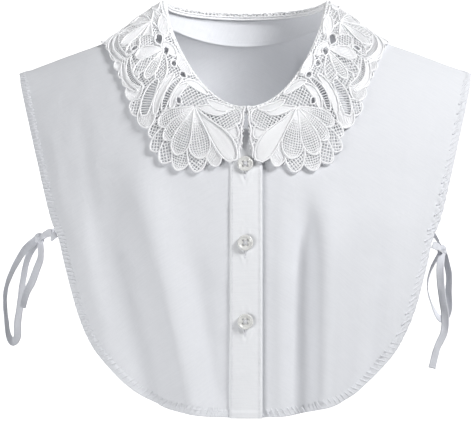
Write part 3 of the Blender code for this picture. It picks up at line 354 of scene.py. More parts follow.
class Wiring:
    """Short calls that add and join the nodes of one tree."""

    def __init__(self, tree: bpy.types.NodeTree) -> None:
        """Keeps the tree, with what goes into and out of it where it is a group."""
        self.tree = tree
        ends = {node.bl_idname: node for node in tree.nodes}
        self.given = ends["NodeGroupInput"].outputs if "NodeGroupInput" in ends else None
        self.outlet = ends.get("NodeGroupOutput")

    def fill(self, node: bpy.types.Node, inputs: dict) -> bpy.types.Node:
        """Sets a node's inputs, by name or number, or joins them where an output is given."""
        for key, value in inputs.items():
            if isinstance(value, bpy.types.NodeSocket):
                self.tree.links.new(value, node.inputs[key])
            else:
                node.inputs[key].default_value = value
        return node

    def add(self, kind: str, inputs: dict | None = None, **settings: object) -> bpy.types.Node:
        """Adds a node with its own properties, and fills its inputs."""
        node = self.tree.nodes.new(kind)
        for key, value in settings.items():
            setattr(node, key, value)
        return self.fill(node, inputs or {})

    def math(self, operation: str, *values: object) -> bpy.types.NodeSocket:
        """The result of a Math node on numbers or sockets."""
        return self.add("ShaderNodeMath", dict(enumerate(values)), operation=operation).outputs[0]

    def group(self, tree: bpy.types.NodeTree, inputs: dict) -> bpy.types.NodeOutputs:
        """The outputs of a shader group."""
        return self.add("ShaderNodeGroup", inputs, node_tree=tree).outputs

    def noise(self, vector: bpy.types.NodeSocket, scale: object, **more: float) -> bpy.types.NodeSocket:
        """The value of a Noise texture at a place."""
        values = {"Vector": vector, "Scale": scale, **more}
        return self.add("ShaderNodeTexNoise", values).outputs["Fac"]

    def mixed(self, share: bpy.types.NodeSocket, low: tuple, high: tuple) -> bpy.types.NodeSocket:
        """A colour between low and high by a share."""
        return self.add("ShaderNodeMix", {0: share, 6: low, 7: high}, data_type="RGBA").outputs[2]

    def bump(self, height: bpy.types.NodeSocket, strength: float, distance: float, **more: object) -> object:
        """The normal of a surface with this height, over another normal where one is given."""
        values = {"Height": height, "Strength": strength, "Distance": distance, **more}
        return self.add("ShaderNodeBump", values).outputs["Normal"]


def weave_group() -> bpy.types.NodeTree:
    """Plain weave on a UV map in metres: threads over and under, with a little unevenness."""
    inputs = {"Vector": ("Vector", None), "Thread": ("Float", 0.45 * MM)}
    tree = new_group("Weave", "ShaderNodeTree", inputs, {"Height": "Float", "Slub": "Float"})
    w = Wiring(tree)
    parts = w.add("ShaderNodeSeparateXYZ", {"Vector": w.given["Vector"]})
    waves = []
    for axis in ("X", "Y"):
        turns = w.math("DIVIDE", parts.outputs[axis], w.given["Thread"])
        waves.append(w.math("SINE", w.math("MULTIPLY", turns, math.pi)))
    height = w.math("MULTIPLY_ADD", w.math("MULTIPLY", *waves), 0.5, 0.5)
    stretch = w.add("ShaderNodeMapping", {"Vector": w.given["Vector"], "Scale": (60, 900, 1)})
    slub = w.noise(stretch.outputs["Vector"], 1.0, Detail=3.0)
    w.fill(w.outlet, {"Height": height, "Slub": slub})
    return tree


def crumple_group() -> bpy.types.NodeTree:
    """Soft crumples of washed cotton on Object coordinates."""
    inputs = {"Vector": ("Vector", None), "Size": ("Float", 9 * MM)}
    tree = new_group("Crumple", "ShaderNodeTree", inputs, {"Height": "Float"})
    w = Wiring(tree)
    scale = w.math("DIVIDE", 1.0, w.given["Size"])
    cloud = w.noise(w.given["Vector"], scale, Detail=4.0, Distortion=0.6)
    w.fill(w.outlet, {"Height": cloud})
    return tree


def strand_group() -> bpy.types.NodeTree:
    """Fine strands of embroidery thread: light and dark between neighbouring threads."""
    inputs = {"Vector": ("Vector", None), "Thread": ("Float", 0.3 * MM)}
    tree = new_group("Strand", "ShaderNodeTree", inputs, {"Height": "Float", "Shade": "Float"})
    w = Wiring(tree)
    scale = w.math("DIVIDE", 1.0, w.given["Thread"])
    fine = w.noise(w.given["Vector"], scale, Detail=2.0, Roughness=0.6)
    broad = w.noise(w.given["Vector"], w.math("MULTIPLY", scale, 0.12), Detail=2.0)
    w.fill(w.outlet, {"Height": fine, "Shade": broad})
    return tree


WEAVE, CRUMPLE, STRAND = weave_group(), crumple_group(), strand_group()


def shader_of(name: str) -> tuple[bpy.types.Material, Wiring, bpy.types.Node]:
    """A new material with its wiring and its Principled shader."""
    material = bpy.data.materials.new(name)
    material.use_nodes = True
    return material, Wiring(material.node_tree), material.node_tree.nodes["Principled BSDF"]


@dataclass(frozen=True)
class CottonFinish:
    """Thin plain-weave cotton: two whites, its thread and crumple sizes, and how it scatters light."""

    name: str = "cotton"
    dark: tuple = (0.67, 0.685, 0.72, 1)
    light: tuple = (0.77, 0.78, 0.81, 1)
    thread: float = 0.42 * MM
    crumple: float = 7 * MM
    crumple_depth: float = 0.5 * MM
    weave_depth: float = 0.12 * MM
    roughness: float = 0.86
    sheen: float = 0.15
    sheen_roughness: float = 0.6
    specular: float = 0.25

    def make(self) -> bpy.types.Material:
        """Builds the material."""
        material, w, shader = shader_of(self.name)
        place = w.add("ShaderNodeTexCoord").outputs
        weave = w.group(WEAVE, {"Vector": place["UV"], "Thread": self.thread})
        crumple = w.group(CRUMPLE, {"Vector": place["Object"], "Size": self.crumple})
        # The weave's height also lightens the raised thread crossings in the base colour: painted shade
        # between the threads. The slub is the cloth's own uneven tone.
        tone = w.math("MULTIPLY_ADD", weave["Height"], 0.35, 0.2)
        tone = w.math("MULTIPLY_ADD", weave["Slub"], 0.7, tone)
        soft = w.bump(crumple["Height"], 0.45, self.crumple_depth)
        values = {
            "Base Color": w.mixed(tone, self.dark, self.light),
            "Normal": w.bump(weave["Height"], 0.35, self.weave_depth, Normal=soft),
            "Roughness": self.roughness,
            "Sheen Weight": self.sheen,
            "Sheen Roughness": self.sheen_roughness,
            "Specular IOR Level": self.specular,
        }
        w.fill(shader, values)
        return material


@dataclass(frozen=True)
class ThreadFinish:
    """Embroidery or sewing thread: two whites, the strand's size and how much it shines."""

    name: str
    dark: tuple
    light: tuple
    strand: float = 0.3 * MM
    depth: float = 0.10 * MM
    roughness: float = 0.62
    sheen: float = 0.25
    specular: float = 0.3

    def make(self) -> bpy.types.Material:
        """Builds the material."""
        material, w, shader = shader_of(self.name)
        place = w.add("ShaderNodeTexCoord").outputs
        strand = w.group(STRAND, {"Vector": place["Object"], "Thread": self.strand})
        # The broad noise is the thread's own uneven tone. The fine strand height also lightens the raised
        # strands in the colour: painted shade between them.
        tone = w.math("MULTIPLY_ADD", strand["Shade"], 0.9, 0.05)
        tone = w.math("MULTIPLY_ADD", strand["Height"], 0.35, tone)
        values = {
            "Base Color": w.mixed(tone, self.dark, self.light),
            "Normal": w.bump(strand["Height"], 0.6, self.depth),
            "Roughness": self.roughness,
            "Sheen Weight": self.sheen,
            "Specular IOR Level": self.specular,
        }
        w.fill(shader, values)
        return material


@dataclass(frozen=True)
class SatinFinish:
    """Satin stitch of the petals: threads laid side by side across each petal's own UV map."""

    name: str
    dark: tuple
    light: tuple
    thread: float = 0.55 * MM
    depth: float = 0.15 * MM
    roughness: float = 0.5
    sheen: float = 0.2

    def make(self) -> bpy.types.Material:
        """Builds the material."""
        material, w, shader = shader_of(self.name)
        place = w.add("ShaderNodeTexCoord").outputs
        parts = w.add("ShaderNodeSeparateXYZ", {"Vector": place["UV"]})
        turns = w.math("MULTIPLY", parts.outputs["X"], 2 * math.pi / self.thread)
        ridge = w.math("MULTIPLY_ADD", w.math("SINE", turns), 0.5, 0.5)
        strand = w.group(STRAND, {"Vector": place["Object"]})
        # The thread ridges are lighter along their crests and darker in the grooves between them: painted
        # highlight and painted shade. The strand noise is the thread's own uneven tone.
        tone = w.math("MULTIPLY_ADD", ridge, 0.5, 0.1)
        tone = w.math("MULTIPLY_ADD", strand["Shade"], 0.5, tone)
        values = {
            "Base Color": w.mixed(tone, self.dark, self.light),
            "Normal": w.bump(ridge, 0.5, self.depth),
            "Roughness": self.roughness,
            "Sheen Weight": self.sheen,
        }
        w.fill(shader, values)
        return material


@dataclass(frozen=True)
class ButtonFinish:
    """Pearly plastic: clouded white under a clear gloss."""

    name: str = "button"
    dark: tuple = (0.62, 0.62, 0.60, 1)
    light: tuple = (0.84, 0.84, 0.82, 1)
    cloud: float = 2.5 * MM
    gloss: float = 0.6
    gloss_roughness: float = 0.08
    glow_share: float = 0.15
    glow_reach: float = 1.5 * MM

    def make(self) -> bpy.types.Material:
        """Builds the material."""
        material, w, shader = shader_of(self.name)
        place = w.add("ShaderNodeTexCoord").outputs
        cloud = w.noise(place["Object"], 1 / self.cloud, Detail=3.0, Distortion=1.5)
        values = {
            "Base Color": w.mixed(cloud, self.dark, self.light),
            "Roughness": w.math("MULTIPLY_ADD", cloud, 0.15, 0.15),
            "Coat Weight": self.gloss,
            "Coat Roughness": self.gloss_roughness,
            "Subsurface Weight": self.glow_share,
            "Subsurface Radius": (self.glow_reach,) * 3,
            "Subsurface Scale": 1.0,
        }
        w.fill(shader, values)
        return material


class Palette:
    """Every finish of the garment, built once."""

    def __init__(self) -> None:
        """Builds the materials."""
        self.cotton = CottonFinish().make()
        self.double = CottonFinish("double cotton", (0.74, 0.75, 0.78, 1), (0.84, 0.85, 0.87, 1)).make()
        self.lace = ThreadFinish("lace thread", (0.87, 0.88, 0.90, 1), (0.96, 0.96, 0.97, 1)).make()
        self.satin = SatinFinish("lace satin", (0.82, 0.83, 0.85, 1), (0.93, 0.93, 0.94, 1)).make()
        whites = (0.66, 0.67, 0.71, 1), (0.80, 0.80, 0.83, 1)
        self.sewing = ThreadFinish("sewing thread", *whites, strand=0.15 * MM).make()
        whites = (0.60, 0.615, 0.66, 1), (0.74, 0.75, 0.79, 1)
        self.tape = CottonFinish("tape", *whites, 0.6 * MM, 4 * MM, 0.3 * MM).make()
        self.button = ButtonFinish().make()


# Meshes, cloth shells, threads and stitches


def add_mesh(
    name: str,
    points: np.ndarray,
    faces: Sequence,
    material: bpy.types.Material,
    uv: np.ndarray | None = None,
    edges: Sequence = (),
) -> bpy.types.Object:
    """A smooth mesh object at the origin.

    Args:
        name: the piece's name.
        points, faces, edges: the mesh, in metres.
        material: its finish.
        uv: one UV point for each mesh point, in metres.

    Returns:
        The object.
    """
    mesh = bpy.data.meshes.new(name)
    mesh.from_pydata(np.asarray(points).tolist(), list(edges), [tuple(f) for f in faces])
    mesh.materials.append(material)
    if uv is not None:
        layer = mesh.uv_layers.new(name="UVMap")
        corners = np.zeros(len(mesh.loops), np.int32)
        mesh.loops.foreach_get("vertex_index", corners)
        layer.data.foreach_set("uv", np.asarray(uv, np.float32)[corners].ravel())
    if faces:
        mesh.shade_smooth()
    made = bpy.data.objects.new(name, mesh)
    bpy.context.scene.collection.objects.link(made)
    return made


def grid_quads(rows: int, columns: int, start: int = 0) -> np.ndarray:
    """Quads of a grid of points, row by row."""
    i, j = np.meshgrid(np.arange(rows - 1), np.arange(columns - 1), indexing="ij")
    a = (start + i * columns + j).reshape(-1)
    return np.stack([a, a + 1, a + 1 + columns, a + columns], axis=1)


def thick_mesh(
    name: str,
    top: np.ndarray,
    low: np.ndarray,
    quads: np.ndarray,
    uv: np.ndarray,
    material: bpy.types.Material,
) -> bpy.types.Object:
    """A closed thin body between two sheets of points with the same quads.

    Args:
        name: the piece's name.
        top, low: the points of the outer and the inner face.
        quads: the faces of either sheet.
        uv: one UV point for each point of a sheet, in metres.
        material: its finish.

    Returns:
        The object, with its faces looking outward.
    """
    first, second, third = (top[quads[len(quads) // 2][k]] for k in range(3))
    middle = quads[len(quads) // 2][0]
    if np.cross(second - first, third - first) @ (top[middle] - low[middle]) < 0:
        quads = quads[:, ::-1]
    count = len(top)
    a, b = quads.ravel(), np.roll(quads, -1, axis=1).ravel()
    paired = np.isin(b.astype(np.int64) * count + a, a.astype(np.int64) * count + b)
    a, b = a[~paired], b[~paired]
    side = np.stack([b, a, a + count, b + count], axis=1)
    faces = np.vstack([quads, quads[:, ::-1] + count, side])
    return add_mesh(name, np.vstack([top, low]), faces.tolist(), material, np.vstack([uv, uv]))


def shell(
    name: str,
    grid: np.ndarray,
    normals: np.ndarray,
    inner: np.ndarray | float,
    outer: np.ndarray | float,
    material: bpy.types.Material,
    open_rows: int | None = None,
) -> bpy.types.Object:
    """A closed thin cloth shell over a grid of points.

    Args:
        name: the piece's name.
        grid: rows by columns by 3 points on the cloth's form.
        normals: the outward normals there.
        inner, outer: how far both faces lie along the normals.
        material: its finish.
        open_rows: rows down to which the two halves of the grid are apart; they are one below.

    Returns:
        The object, with a UV map in metres.
    """
    rows, columns = grid.shape[:2]
    flat, ways = grid.reshape(-1, 3), normals.reshape(-1, 3)
    top = flat + ways * np.broadcast_to(outer, grid.shape[:2]).reshape(-1)[:, None]
    low = flat + ways * np.broadcast_to(inner, grid.shape[:2]).reshape(-1)[:, None]
    quads = grid_quads(rows, columns)
    if open_rows is not None:
        seam = columns // 2
        quads = quads[quads[:, 0] % columns != seam - 1]
        row, column = np.divmod(quads, columns)
        quads = np.where((column == seam - 1) & (row >= open_rows), quads + 1, quads)
    across = np.linalg.norm(np.diff(grid, axis=1), axis=2)
    down = np.linalg.norm(np.diff(grid, axis=0), axis=2)
    u = np.concatenate([np.zeros((rows, 1)), np.cumsum(across, axis=1)], axis=1)
    v = np.concatenate([np.zeros((1, columns)), np.cumsum(down, axis=0)], axis=0)
    uv = np.stack([u.reshape(-1), v.reshape(-1)], axis=1)
    return thick_mesh(name, top, low, quads, uv, material)


def finish_tree(w: Wiring, mesh: bpy.types.NodeSocket) -> bpy.types.NodeTree:
    """Ends a geometry group: smooth faces, real geometry and the group's own material."""
    smooth = w.add("GeometryNodeSetShadeSmooth", {"Geometry": mesh})
    real = w.add("GeometryNodeRealizeInstances", {"Geometry": smooth.outputs["Geometry"]})
    inputs = {"Geometry": real.outputs["Geometry"], "Material": w.given["Material"]}
    dressed = w.add("GeometryNodeSetMaterial", inputs)
    w.fill(w.outlet, {"Geometry": dressed.outputs["Geometry"]})
    return w.tree


def tube_tree() -> bpy.types.NodeTree:
    """Round threads that follow the edges of a mesh, a little uneven in thickness."""
    inputs = {
        "Geometry": ("Geometry", None),
        "Radius": ("Float", 0.3 * MM),
        "Sides": ("Int", 6),
        "Unevenness": ("Float", 0.25),
        "Material": ("Material", None),
    }
    w = Wiring(new_group("Thread tube", "GeometryNodeTree", inputs, {"Geometry": "Geometry"}))
    line = w.add("GeometryNodeMeshToCurve", {"Mesh": w.given["Geometry"]})
    values = {"W": float(SEED), "Scale": 350.0, "Detail": 1.0}
    wander = w.add("ShaderNodeTexNoise", values, noise_dimensions="4D")
    spread = w.math("SUBTRACT", wander.outputs["Fac"], 0.5)
    share = w.math("MULTIPLY_ADD", spread, w.given["Unevenness"], 1.0)
    radius = w.math("MULTIPLY", share, w.given["Radius"])
    sized = w.add("GeometryNodeSetCurveRadius", {"Curve": line.outputs["Curve"], "Radius": radius})
    circle = {"Resolution": w.given["Sides"], "Radius": 1.0}
    ring = w.add("GeometryNodeCurvePrimitiveCircle", circle)
    values = {"Curve": sized.outputs[0], "Profile Curve": ring.outputs["Curve"], "Fill Caps": True}
    tube = w.add("GeometryNodeCurveToMesh", values)
    if "Scale" in tube.inputs:
        w.fill(tube, {"Scale": w.add("GeometryNodeInputRadius").outputs["Radius"]})
    return finish_tree(w, tube.outputs["Mesh"])


def stitch_tree() -> bpy.types.NodeTree:
    """Sewing stitches set along the edges of a mesh."""
    inputs = {
        "Geometry": ("Geometry", None),
        "Pitch": ("Float", 2.6 * MM),
        "Length": ("Float", 1.9 * MM),
        "Radius": ("Float", 0.22 * MM),
        "Material": ("Material", None),
    }
    w = Wiring(new_group("Stitches", "GeometryNodeTree", inputs, {"Geometry": "Geometry"}))
    line = w.add("GeometryNodeMeshToCurve", {"Mesh": w.given["Geometry"]})
    values = {"Curve": line.outputs["Curve"], "Length": w.given["Pitch"]}
    marks = w.add("GeometryNodeResampleCurve", values, mode="LENGTH")
    grain = w.add("GeometryNodeMeshUVSphere", {"Segments": 6, "Rings": 5, "Radius": 1.0})
    half, radius = w.math("MULTIPLY", w.given["Length"], 0.5), w.given["Radius"]
    size = w.add("ShaderNodeCombineXYZ", {"X": radius, "Y": radius, "Z": half})
    values = {"Geometry": grain.outputs["Mesh"], "Scale": size.outputs["Vector"]}
    shaped = w.add("GeometryNodeTransform", values)
    tangent = w.add("GeometryNodeInputTangent").outputs["Tangent"]
    turned = w.add("FunctionNodeAlignRotationToVector", {"Vector": tangent}, axis="Z")
    values = {
        "Points": marks.outputs["Curve"],
        "Instance": shaped.outputs["Geometry"],
        "Rotation": turned.outputs["Rotation"],
    }
    placed = w.add("GeometryNodeInstanceOnPoints", values)
    return finish_tree(w, placed.outputs["Instances"])


TUBES, STITCHES = tube_tree(), stitch_tree()


def along_lines(
    name: str,
    lines: Sequence[np.ndarray],
    tree: bpy.types.NodeTree,
    material: bpy.types.Material,
    closed: bool = False,
    **values: object,
) -> bpy.types.Object:
    """Runs a geometry tree along lines of points and keeps its mesh.

    Args:
        name: the piece's name.
        lines: the lines, each an array of points.
        tree: the geometry tree.
        material: the finish of what it makes.
        closed: whether the lines are rings.
        values: the tree's other inputs by name.

    Returns:
        The finished mesh object, with no modifier.
    """
    points, edges = [], []
    for line in lines:
        start, count = len(points), len(line)
        points += line.tolist()
        edges += [(start + i, start + i + 1) for i in range(count - 1)]
        if closed:
            edges.append((start + count - 1, start))
    guide = add_mesh(name + "_lines", np.array(points), [], material, edges=edges)
    modifier = guide.modifiers.new("Threads", "NODES")
    modifier.node_group = tree
    sockets = {
        item.name: item.identifier
        for item in tree.interface.items_tree
        if item.item_type == "SOCKET" and item.in_out == "INPUT"
    }
    for key, value in {**values, "Material": material}.items():
        modifier[sockets[key]] = value
    graph = bpy.context.evaluated_depsgraph_get()
    mesh = bpy.data.meshes.new_from_object(guide.evaluated_get(graph))
    mesh.name = name
    bpy.data.objects.remove(guide)
    made = bpy.data.objects.new(name, mesh)
    bpy.context.scene.collection.objects.link(made)
    return made


def joined(name: str, pieces: Sequence[bpy.types.Object]) -> bpy.types.Object:
    """One object from several, under one name."""
    bpy.context.view_layer.update()
    with bpy.context.temp_override(
        active_object=pieces[0], selected_editable_objects=list(pieces), object=pieces[0]
    ):
        bpy.ops.object.join()
    pieces[0].name = name
    pieces[0].data.name = name
    return pieces[0]


def dress(obj: bpy.types.Object, slot: str, *nodes: str) -> bpy.types.Object:
    """Lets a piece ride on the garment and hides the solids it stands for."""
    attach(obj, ROOT)
    if nodes:
        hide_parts(*nodes)
    return obj


# Cotton panels, placket and neck stand


@dataclass(frozen=True)
class EdgePoint:
    """A point of the panel's side edge in front view, in mm."""

    x: float
    z: float


SIDE_EDGE = (
    EdgePoint(161, -94),
    EdgePoint(146, -149),
    EdgePoint(139, -165),
    EdgePoint(133, -188),
    EdgePoint(123, -222),
    EdgePoint(113, -243),
    EdgePoint(100, -260),
    EdgePoint(87, -273),
    EdgePoint(74, -282),
    EdgePoint(58, -288.5),
    EdgePoint(31, -294.5),
    EdgePoint(0, -296),
)


@dataclass(frozen=True)
class Pucker:
    """Puckers of a turned hem: their pitch, depth, slant and where along the edge they run."""

    pitch: float
    depth: float
    slant: float
    start: float
    stop: float


@dataclass(frozen=True)
class Tucks:
    """Small slanting tucks drawn up by the hem's stitches: pitch, slant, first and last place in mm."""

    pitch: float
    slant: float
    start: float
    stop: float


@dataclass(frozen=True)
class PanelCut:
    """One half panel of the cut: its side, face, how far it passes the centre, and its grid."""

    side: Side
    face: Face
    past_centre: float = 0.0
    inset: float = 0.0
    sunk: bool = False
    columns: int = 84
    rows: int = 150
    neck_rows: int = 56
    hem_lines: int = 10
    puckers: tuple = ()
    tucks: tuple = ()


RIGHT_PUCKERS = (Pucker(5.0, 0.16, 0.5, 0, 190), Pucker(4.3, 0.30, 0.25, 170, 400))
LEFT_PUCKERS = (Pucker(7.6, 0.52, 1.1, 15, 235), Pucker(4.0, 0.34, 0.3, 215, 400))
RIGHT_TUCKS = (Tucks(3.1, 2.4, 6, 190), Tucks(4.4, 1.6, 196, 372))
LEFT_TUCKS = (Tucks(4.7, 6.5, 10, 235), Tucks(4.1, 2.2, 240, 372))
BACK_TUCKS = (Tucks(3.2, 3.0, 8, 230), Tucks(4.3, 1.8, 234, 366))
BACK_PUCKERS = (Pucker(6.2, 0.30, 0.8, 10, 215), Pucker(4.4, 0.30, 0.3, 190, 400))


@dataclass
class CottonPanels:
    """The two fronts and the back, with turned and puckered hems and their stitches."""

    palette: Palette
    shoulder_tip: float = 176 * MM
    hem_centre_z: float = -296 * MM
    corner_x: float = 113 * MM
    top_length: float = 140 * MM
    back_inset: float = 3 * MM
    inner: float = 0.5 * MM
    outer: float = 1.1 * MM
    hem_rise: float = 0.65 * MM
    stitch_at: float = 4.3 * MM
    tuck_radius: float = 0.58 * MM
    tuck_reach: float = 0.5
    crumple: float = 0.35 * MM
    cut_area: float = 0.0445

    def outline(self, cut: PanelCut) -> np.ndarray:
        """The outer edge from the shoulder tip to the centre hem, as (x, turn) points."""
        inset, start = cut.inset, self.shoulder_tip - cut.inset
        made = [(start, 0.0)]
        corners = [(start, float(FIGURE.ridge_height(start)))]
        corners += [(row.x * MM, row.z * MM) for row in SIDE_EDGE]
        for x, z in smooth_line(corners, 6)[1:]:
            x_in = max(x - inset * min(1.0, x / self.corner_x), 0.0)
            z_in = z + inset * (z < -0.2)
            made.append((x_in, float(FIGURE.turn_at_height(x_in, z_in, cut.face))))
        line = np.array(made)
        line[:, 0] *= cut.side.value
        return line

    def shares(self, count: int, length: float, cut: PanelCut, corner: float | None) -> np.ndarray:
        """Even shares of a length with close lines over the hem, and one line at the corner."""
        stop = 1 - (HEM_WIDTH + 1.5 * MM) / length
        body = np.linspace(0, stop, count)
        if corner is not None:
            above = np.linspace(0, corner, cut.neck_rows, endpoint=False)
            body = np.concatenate([above, np.linspace(corner, stop, count)])
        return np.concatenate([body, np.linspace(stop, 1, cut.hem_lines + 1)[1:]])

    def grid(self, cut: PanelCut) -> np.ndarray:
        """The half panel's (x, turn) grid from the shoulder to the hem and the centre to the side."""
        depth = NECK.front_depth if cut.face is Face.FRONT else NECK.back_depth
        centre = NECK.line(0, -cut.face.value * math.pi / 2, 60, cut.side)
        if cut.past_centre > 0:
            steps = [cut.past_centre * k / 4 for k in range(1, 5)]
            turns = [FIGURE.turn_at_depth(x, cut.face.value * depth) for x in steps]
            beyond = [(-cut.side.value * x, turn) for x, turn in zip(steps, turns)]
            centre = np.vstack([centre, beyond])
        outline = self.outline(cut)
        corner = int(np.argmin(np.abs(np.abs(outline[:, 0]) - (self.corner_x - cut.inset))))
        hem_z, centre_x = self.hem_centre_z + cut.inset, centre[-1, 0]
        hem_turn = float(FIGURE.turn_at_height(abs(centre_x), hem_z, cut.face))
        down = np.column_stack([np.full(60, centre_x), np.linspace(centre[-1, 1], hem_turn, 60)])
        inner = np.vstack([centre, down[1:]])
        hem = outline[corner:]
        if cut.past_centre > 0:
            hem = np.vstack([hem, [(centre_x, hem_turn)]])
        top = np.column_stack([np.linspace(inner[0, 0], outline[0, 0], 60), np.zeros(60)])
        run = lengths(FIGURE.skin(inner[:, 0], inner[:, 1]))
        neck_share = run[len(centre) - 1] / run[-1]
        u = self.shares(cut.columns, self.top_length, cut, None)
        v = self.shares(cut.rows, run[-1], cut, neck_share)
        top, hem = self.resample(top, u), self.resample(hem[::-1], u)
        inner, outer = self.resample(inner, v), self.resample(outline[: corner + 1], v)
        u, v = u[None, :, None], v[:, None, None]
        across = (1 - v) * top[None] + v * hem[None]
        along = (1 - u) * inner[:, None] + u * outer[:, None]
        corners = (1 - v) * ((1 - u) * top[0] + u * top[-1]) + v * ((1 - u) * hem[0] + u * hem[-1])
        made = across + along - corners
        made[0, :, 1] = [
            FIGURE.turn_at_depth(x, cut.face.value * SEAM_GAP / 2) for x in made[0, :, 0]
        ]
        return made

    @staticmethod
    def resample(line: np.ndarray, shares: np.ndarray) -> np.ndarray:
        """The (x, turn) points at these shares of a line's length on the cloth."""
        run = lengths(FIGURE.skin(line[:, 0], line[:, 1]))
        run /= run[-1]
        return np.stack([np.interp(shares, run, line[:, k]) for k in range(2)], axis=1)

    def edge_places(self, cut: PanelCut, points: np.ndarray) -> tuple[np.ndarray, np.ndarray]:
        """Distance of each point from the outer edge, and how far along the edge it lies."""
        outline = self.outline(cut)
        if cut.past_centre > 0:
            beyond = -cut.side.value * np.linspace(0, cut.past_centre, 5)[1:]
            turns = FIGURE.turn_at_height(beyond, self.hem_centre_z, cut.face)
            outline = np.vstack([outline, np.column_stack([beyond, turns])])
        rim = FIGURE.skin(outline[:, 0], outline[:, 1])
        run = lengths(rim)
        marks = np.arange(0, run[-1], 0.5 * MM)
        dense = np.stack([np.interp(marks, run, rim[:, k]) for k in range(3)], axis=1)
        flat = points.reshape(-1, 3)
        near = np.full(len(flat), 1.0)
        where = np.zeros(len(flat))
        for start in range(0, len(dense), 60):
            gaps = np.linalg.norm(flat[:, None] - dense[None, start : start + 60], axis=2)
            best = gaps.argmin(axis=1)
            closer = gaps[np.arange(len(flat)), best]
            better = closer < near
            near[better], where[better] = closer[better], marks[start + best[better]]
        return near.reshape(points.shape[:2]), where.reshape(points.shape[:2])

    def relief(self, cut: PanelCut, points: np.ndarray) -> tuple[np.ndarray, np.ndarray]:
        """How far the cloth moves out, and how much thicker its hem is, at each grid point."""
        near, where = self.edge_places(cut, points)
        creases = FRONT_CREASES if cut.face is Face.FRONT else BACK_CREASES
        move = fold_height(points[..., 0], points[..., 2], creases)
        offset = Vector((3.1 * cut.side.value, 1.7 * cut.face.value, SEED))
        rough = [
            noise.noise(Vector(p) / (24 * MM) + offset) + 0.5 * noise.noise(Vector(p) / (9 * MM) + offset)
            for p in points.reshape(-1, 3)
        ]
        quiet = ease(near / (10 * MM)) * 0.7 + 0.3
        move = move + self.crumple * np.array(rough).reshape(near.shape) * quiet
        for row in cut.puckers:
            inside = ease((where / MM - row.start) / 20) * ease((row.stop - where / MM) / 20)
            drift = 1.6 * np.sin(where / (13.7 * MM)) + 1.1 * np.sin(where / (31 * MM) + 1)
            phase = 2 * math.pi * (where / MM + row.slant * near / MM) / row.pitch + drift
            uneven = 0.75 + 0.45 * np.sin(where / (17 * MM) + 0.6)
            reach = np.exp(-(((near - self.stitch_at) / (3.4 * MM)) ** 2))
            near_edge = 0.45 * np.exp(-((near / (2.2 * MM)) ** 2))
            move = move + row.depth * MM * np.sin(phase) * uneven * (reach + near_edge) * inside
        band = ease((HEM_WIDTH + 0.5 * MM - near) / (0.9 * MM))
        round_off = np.sqrt(np.clip(1 - ((0.9 * MM - near) / (0.9 * MM)).clip(0, 1) ** 2, 0, 1))
        groove = 0.35 * np.exp(-(((near - self.stitch_at) / (0.5 * MM)) ** 2))
        thick = self.hem_rise * band * (0.35 + 0.65 * round_off) * (1 - groove)
        return move, thick

    def surface(self, cut: PanelCut) -> tuple[np.ndarray, np.ndarray, np.ndarray]:
        """Grid points of the cloth's middle, its normals and the hem's extra thickness."""
        grid = self.grid(cut)
        x, turn = grid[..., 0], grid[..., 1]
        points, normals = FIGURE.skin(x, turn), FIGURE.normals(x, turn)
        move, thick = self.relief(cut, points)
        if cut.sunk:
            share = ease((OVERLAP + UNDERLAP_EASE - cut.side.value * x) / UNDERLAP_EASE)
            move = move * (1 - share) - (SOLID_CLOTH + SEAM_GAP * 2) * share
            thick = np.where(cut.side.value * x < OVERLAP + HEM_WIDTH, 0.2 * thick, thick)
        return points + normals * move[..., None], normals, thick

    def outer_face(
        self, surface: np.ndarray, normals: np.ndarray, thick: np.ndarray, lift: float
    ) -> np.ndarray:
        """Grid points this far over the cloth's outer face."""
        return surface + normals * (self.outer + thick + lift)[..., None]

    def stitch_line(self, cut: PanelCut, lifted: np.ndarray) -> np.ndarray:
        """The hem's row of stitches as one line of points, from the shoulder to the centre."""
        near, where = self.edge_places(cut, FIGURE.skin(*np.moveaxis(self.grid(cut), 2, 0)))
        found = []
        last, low = near.shape[1] - 1, near.shape[0] - 1
        sides = [[(i, last - k) for k in range(last)] for i in range(1, low)]
        sides += [[(low - i, k) for i in range(low)] for k in range(last, -1, -1)]
        for cells in sides:
            cells = np.array(cells[:24])
            row = near[cells[:, 0], cells[:, 1]]
            j = int(np.argmax(row > self.stitch_at))
            if j == 0:
                continue
            share = (self.stitch_at - row[j - 1]) / max(row[j] - row[j - 1], 1e-9)
            first, second = tuple(cells[j - 1]), tuple(cells[j])
            place = where[first] + (where[second] - where[first]) * share
            found.append((place, lifted[first] + (lifted[second] - lifted[first]) * share))
        found.sort(key=lambda pair: pair[0])
        line = [found[0]]
        for pair in found[1:]:
            if pair[0] > line[-1][0] + 0.8 * MM:
                line.append(pair)
        return np.array([point for _, point in line])

    def sewing(
        self, cut: PanelCut, surface: np.ndarray, normals: np.ndarray, thick: np.ndarray
    ) -> tuple[np.ndarray, list[np.ndarray]]:
        """The hem's row of stitches and the small tucks between it and the edge."""
        row = self.stitch_line(cut, self.outer_face(surface, normals, thick, 0.12 * MM))
        face = self.outer_face(surface, normals, thick, -0.1 * MM)
        border = np.vstack([face[:, -1], face[-1, ::-1]])
        run, border_run = lengths(row), lengths(border)
        marks = np.arange(0, border_run[-1], 0.4 * MM)
        border = np.stack([np.interp(marks, border_run, border[:, k]) for k in range(3)], axis=1)
        tucks = []
        for kind in cut.tucks:
            places = np.arange(kind.start, min(kind.stop, run[-1] / MM - 1), kind.pitch)
            for place in places + 0.35 * np.sin(places * 1.9):
                b, back = (
                    np.array([np.interp(at * MM, run, row[:, k]) for k in range(3)])
                    for at in (place, place - kind.slant)
                )
                a = border[np.argmin(np.linalg.norm(border - back, axis=1))]
                out = np.cross(b - back, b - a)
                out *= cut.face.value * np.sign(out[1]) / np.linalg.norm(out)
                faded = b + (b - a) * self.tuck_reach - out * self.tuck_radius * 1.6
                a = a + (b - a) * 0.1
                tucks.append(np.array([a, (a + b) / 2, b, faded]))
        return row, tucks

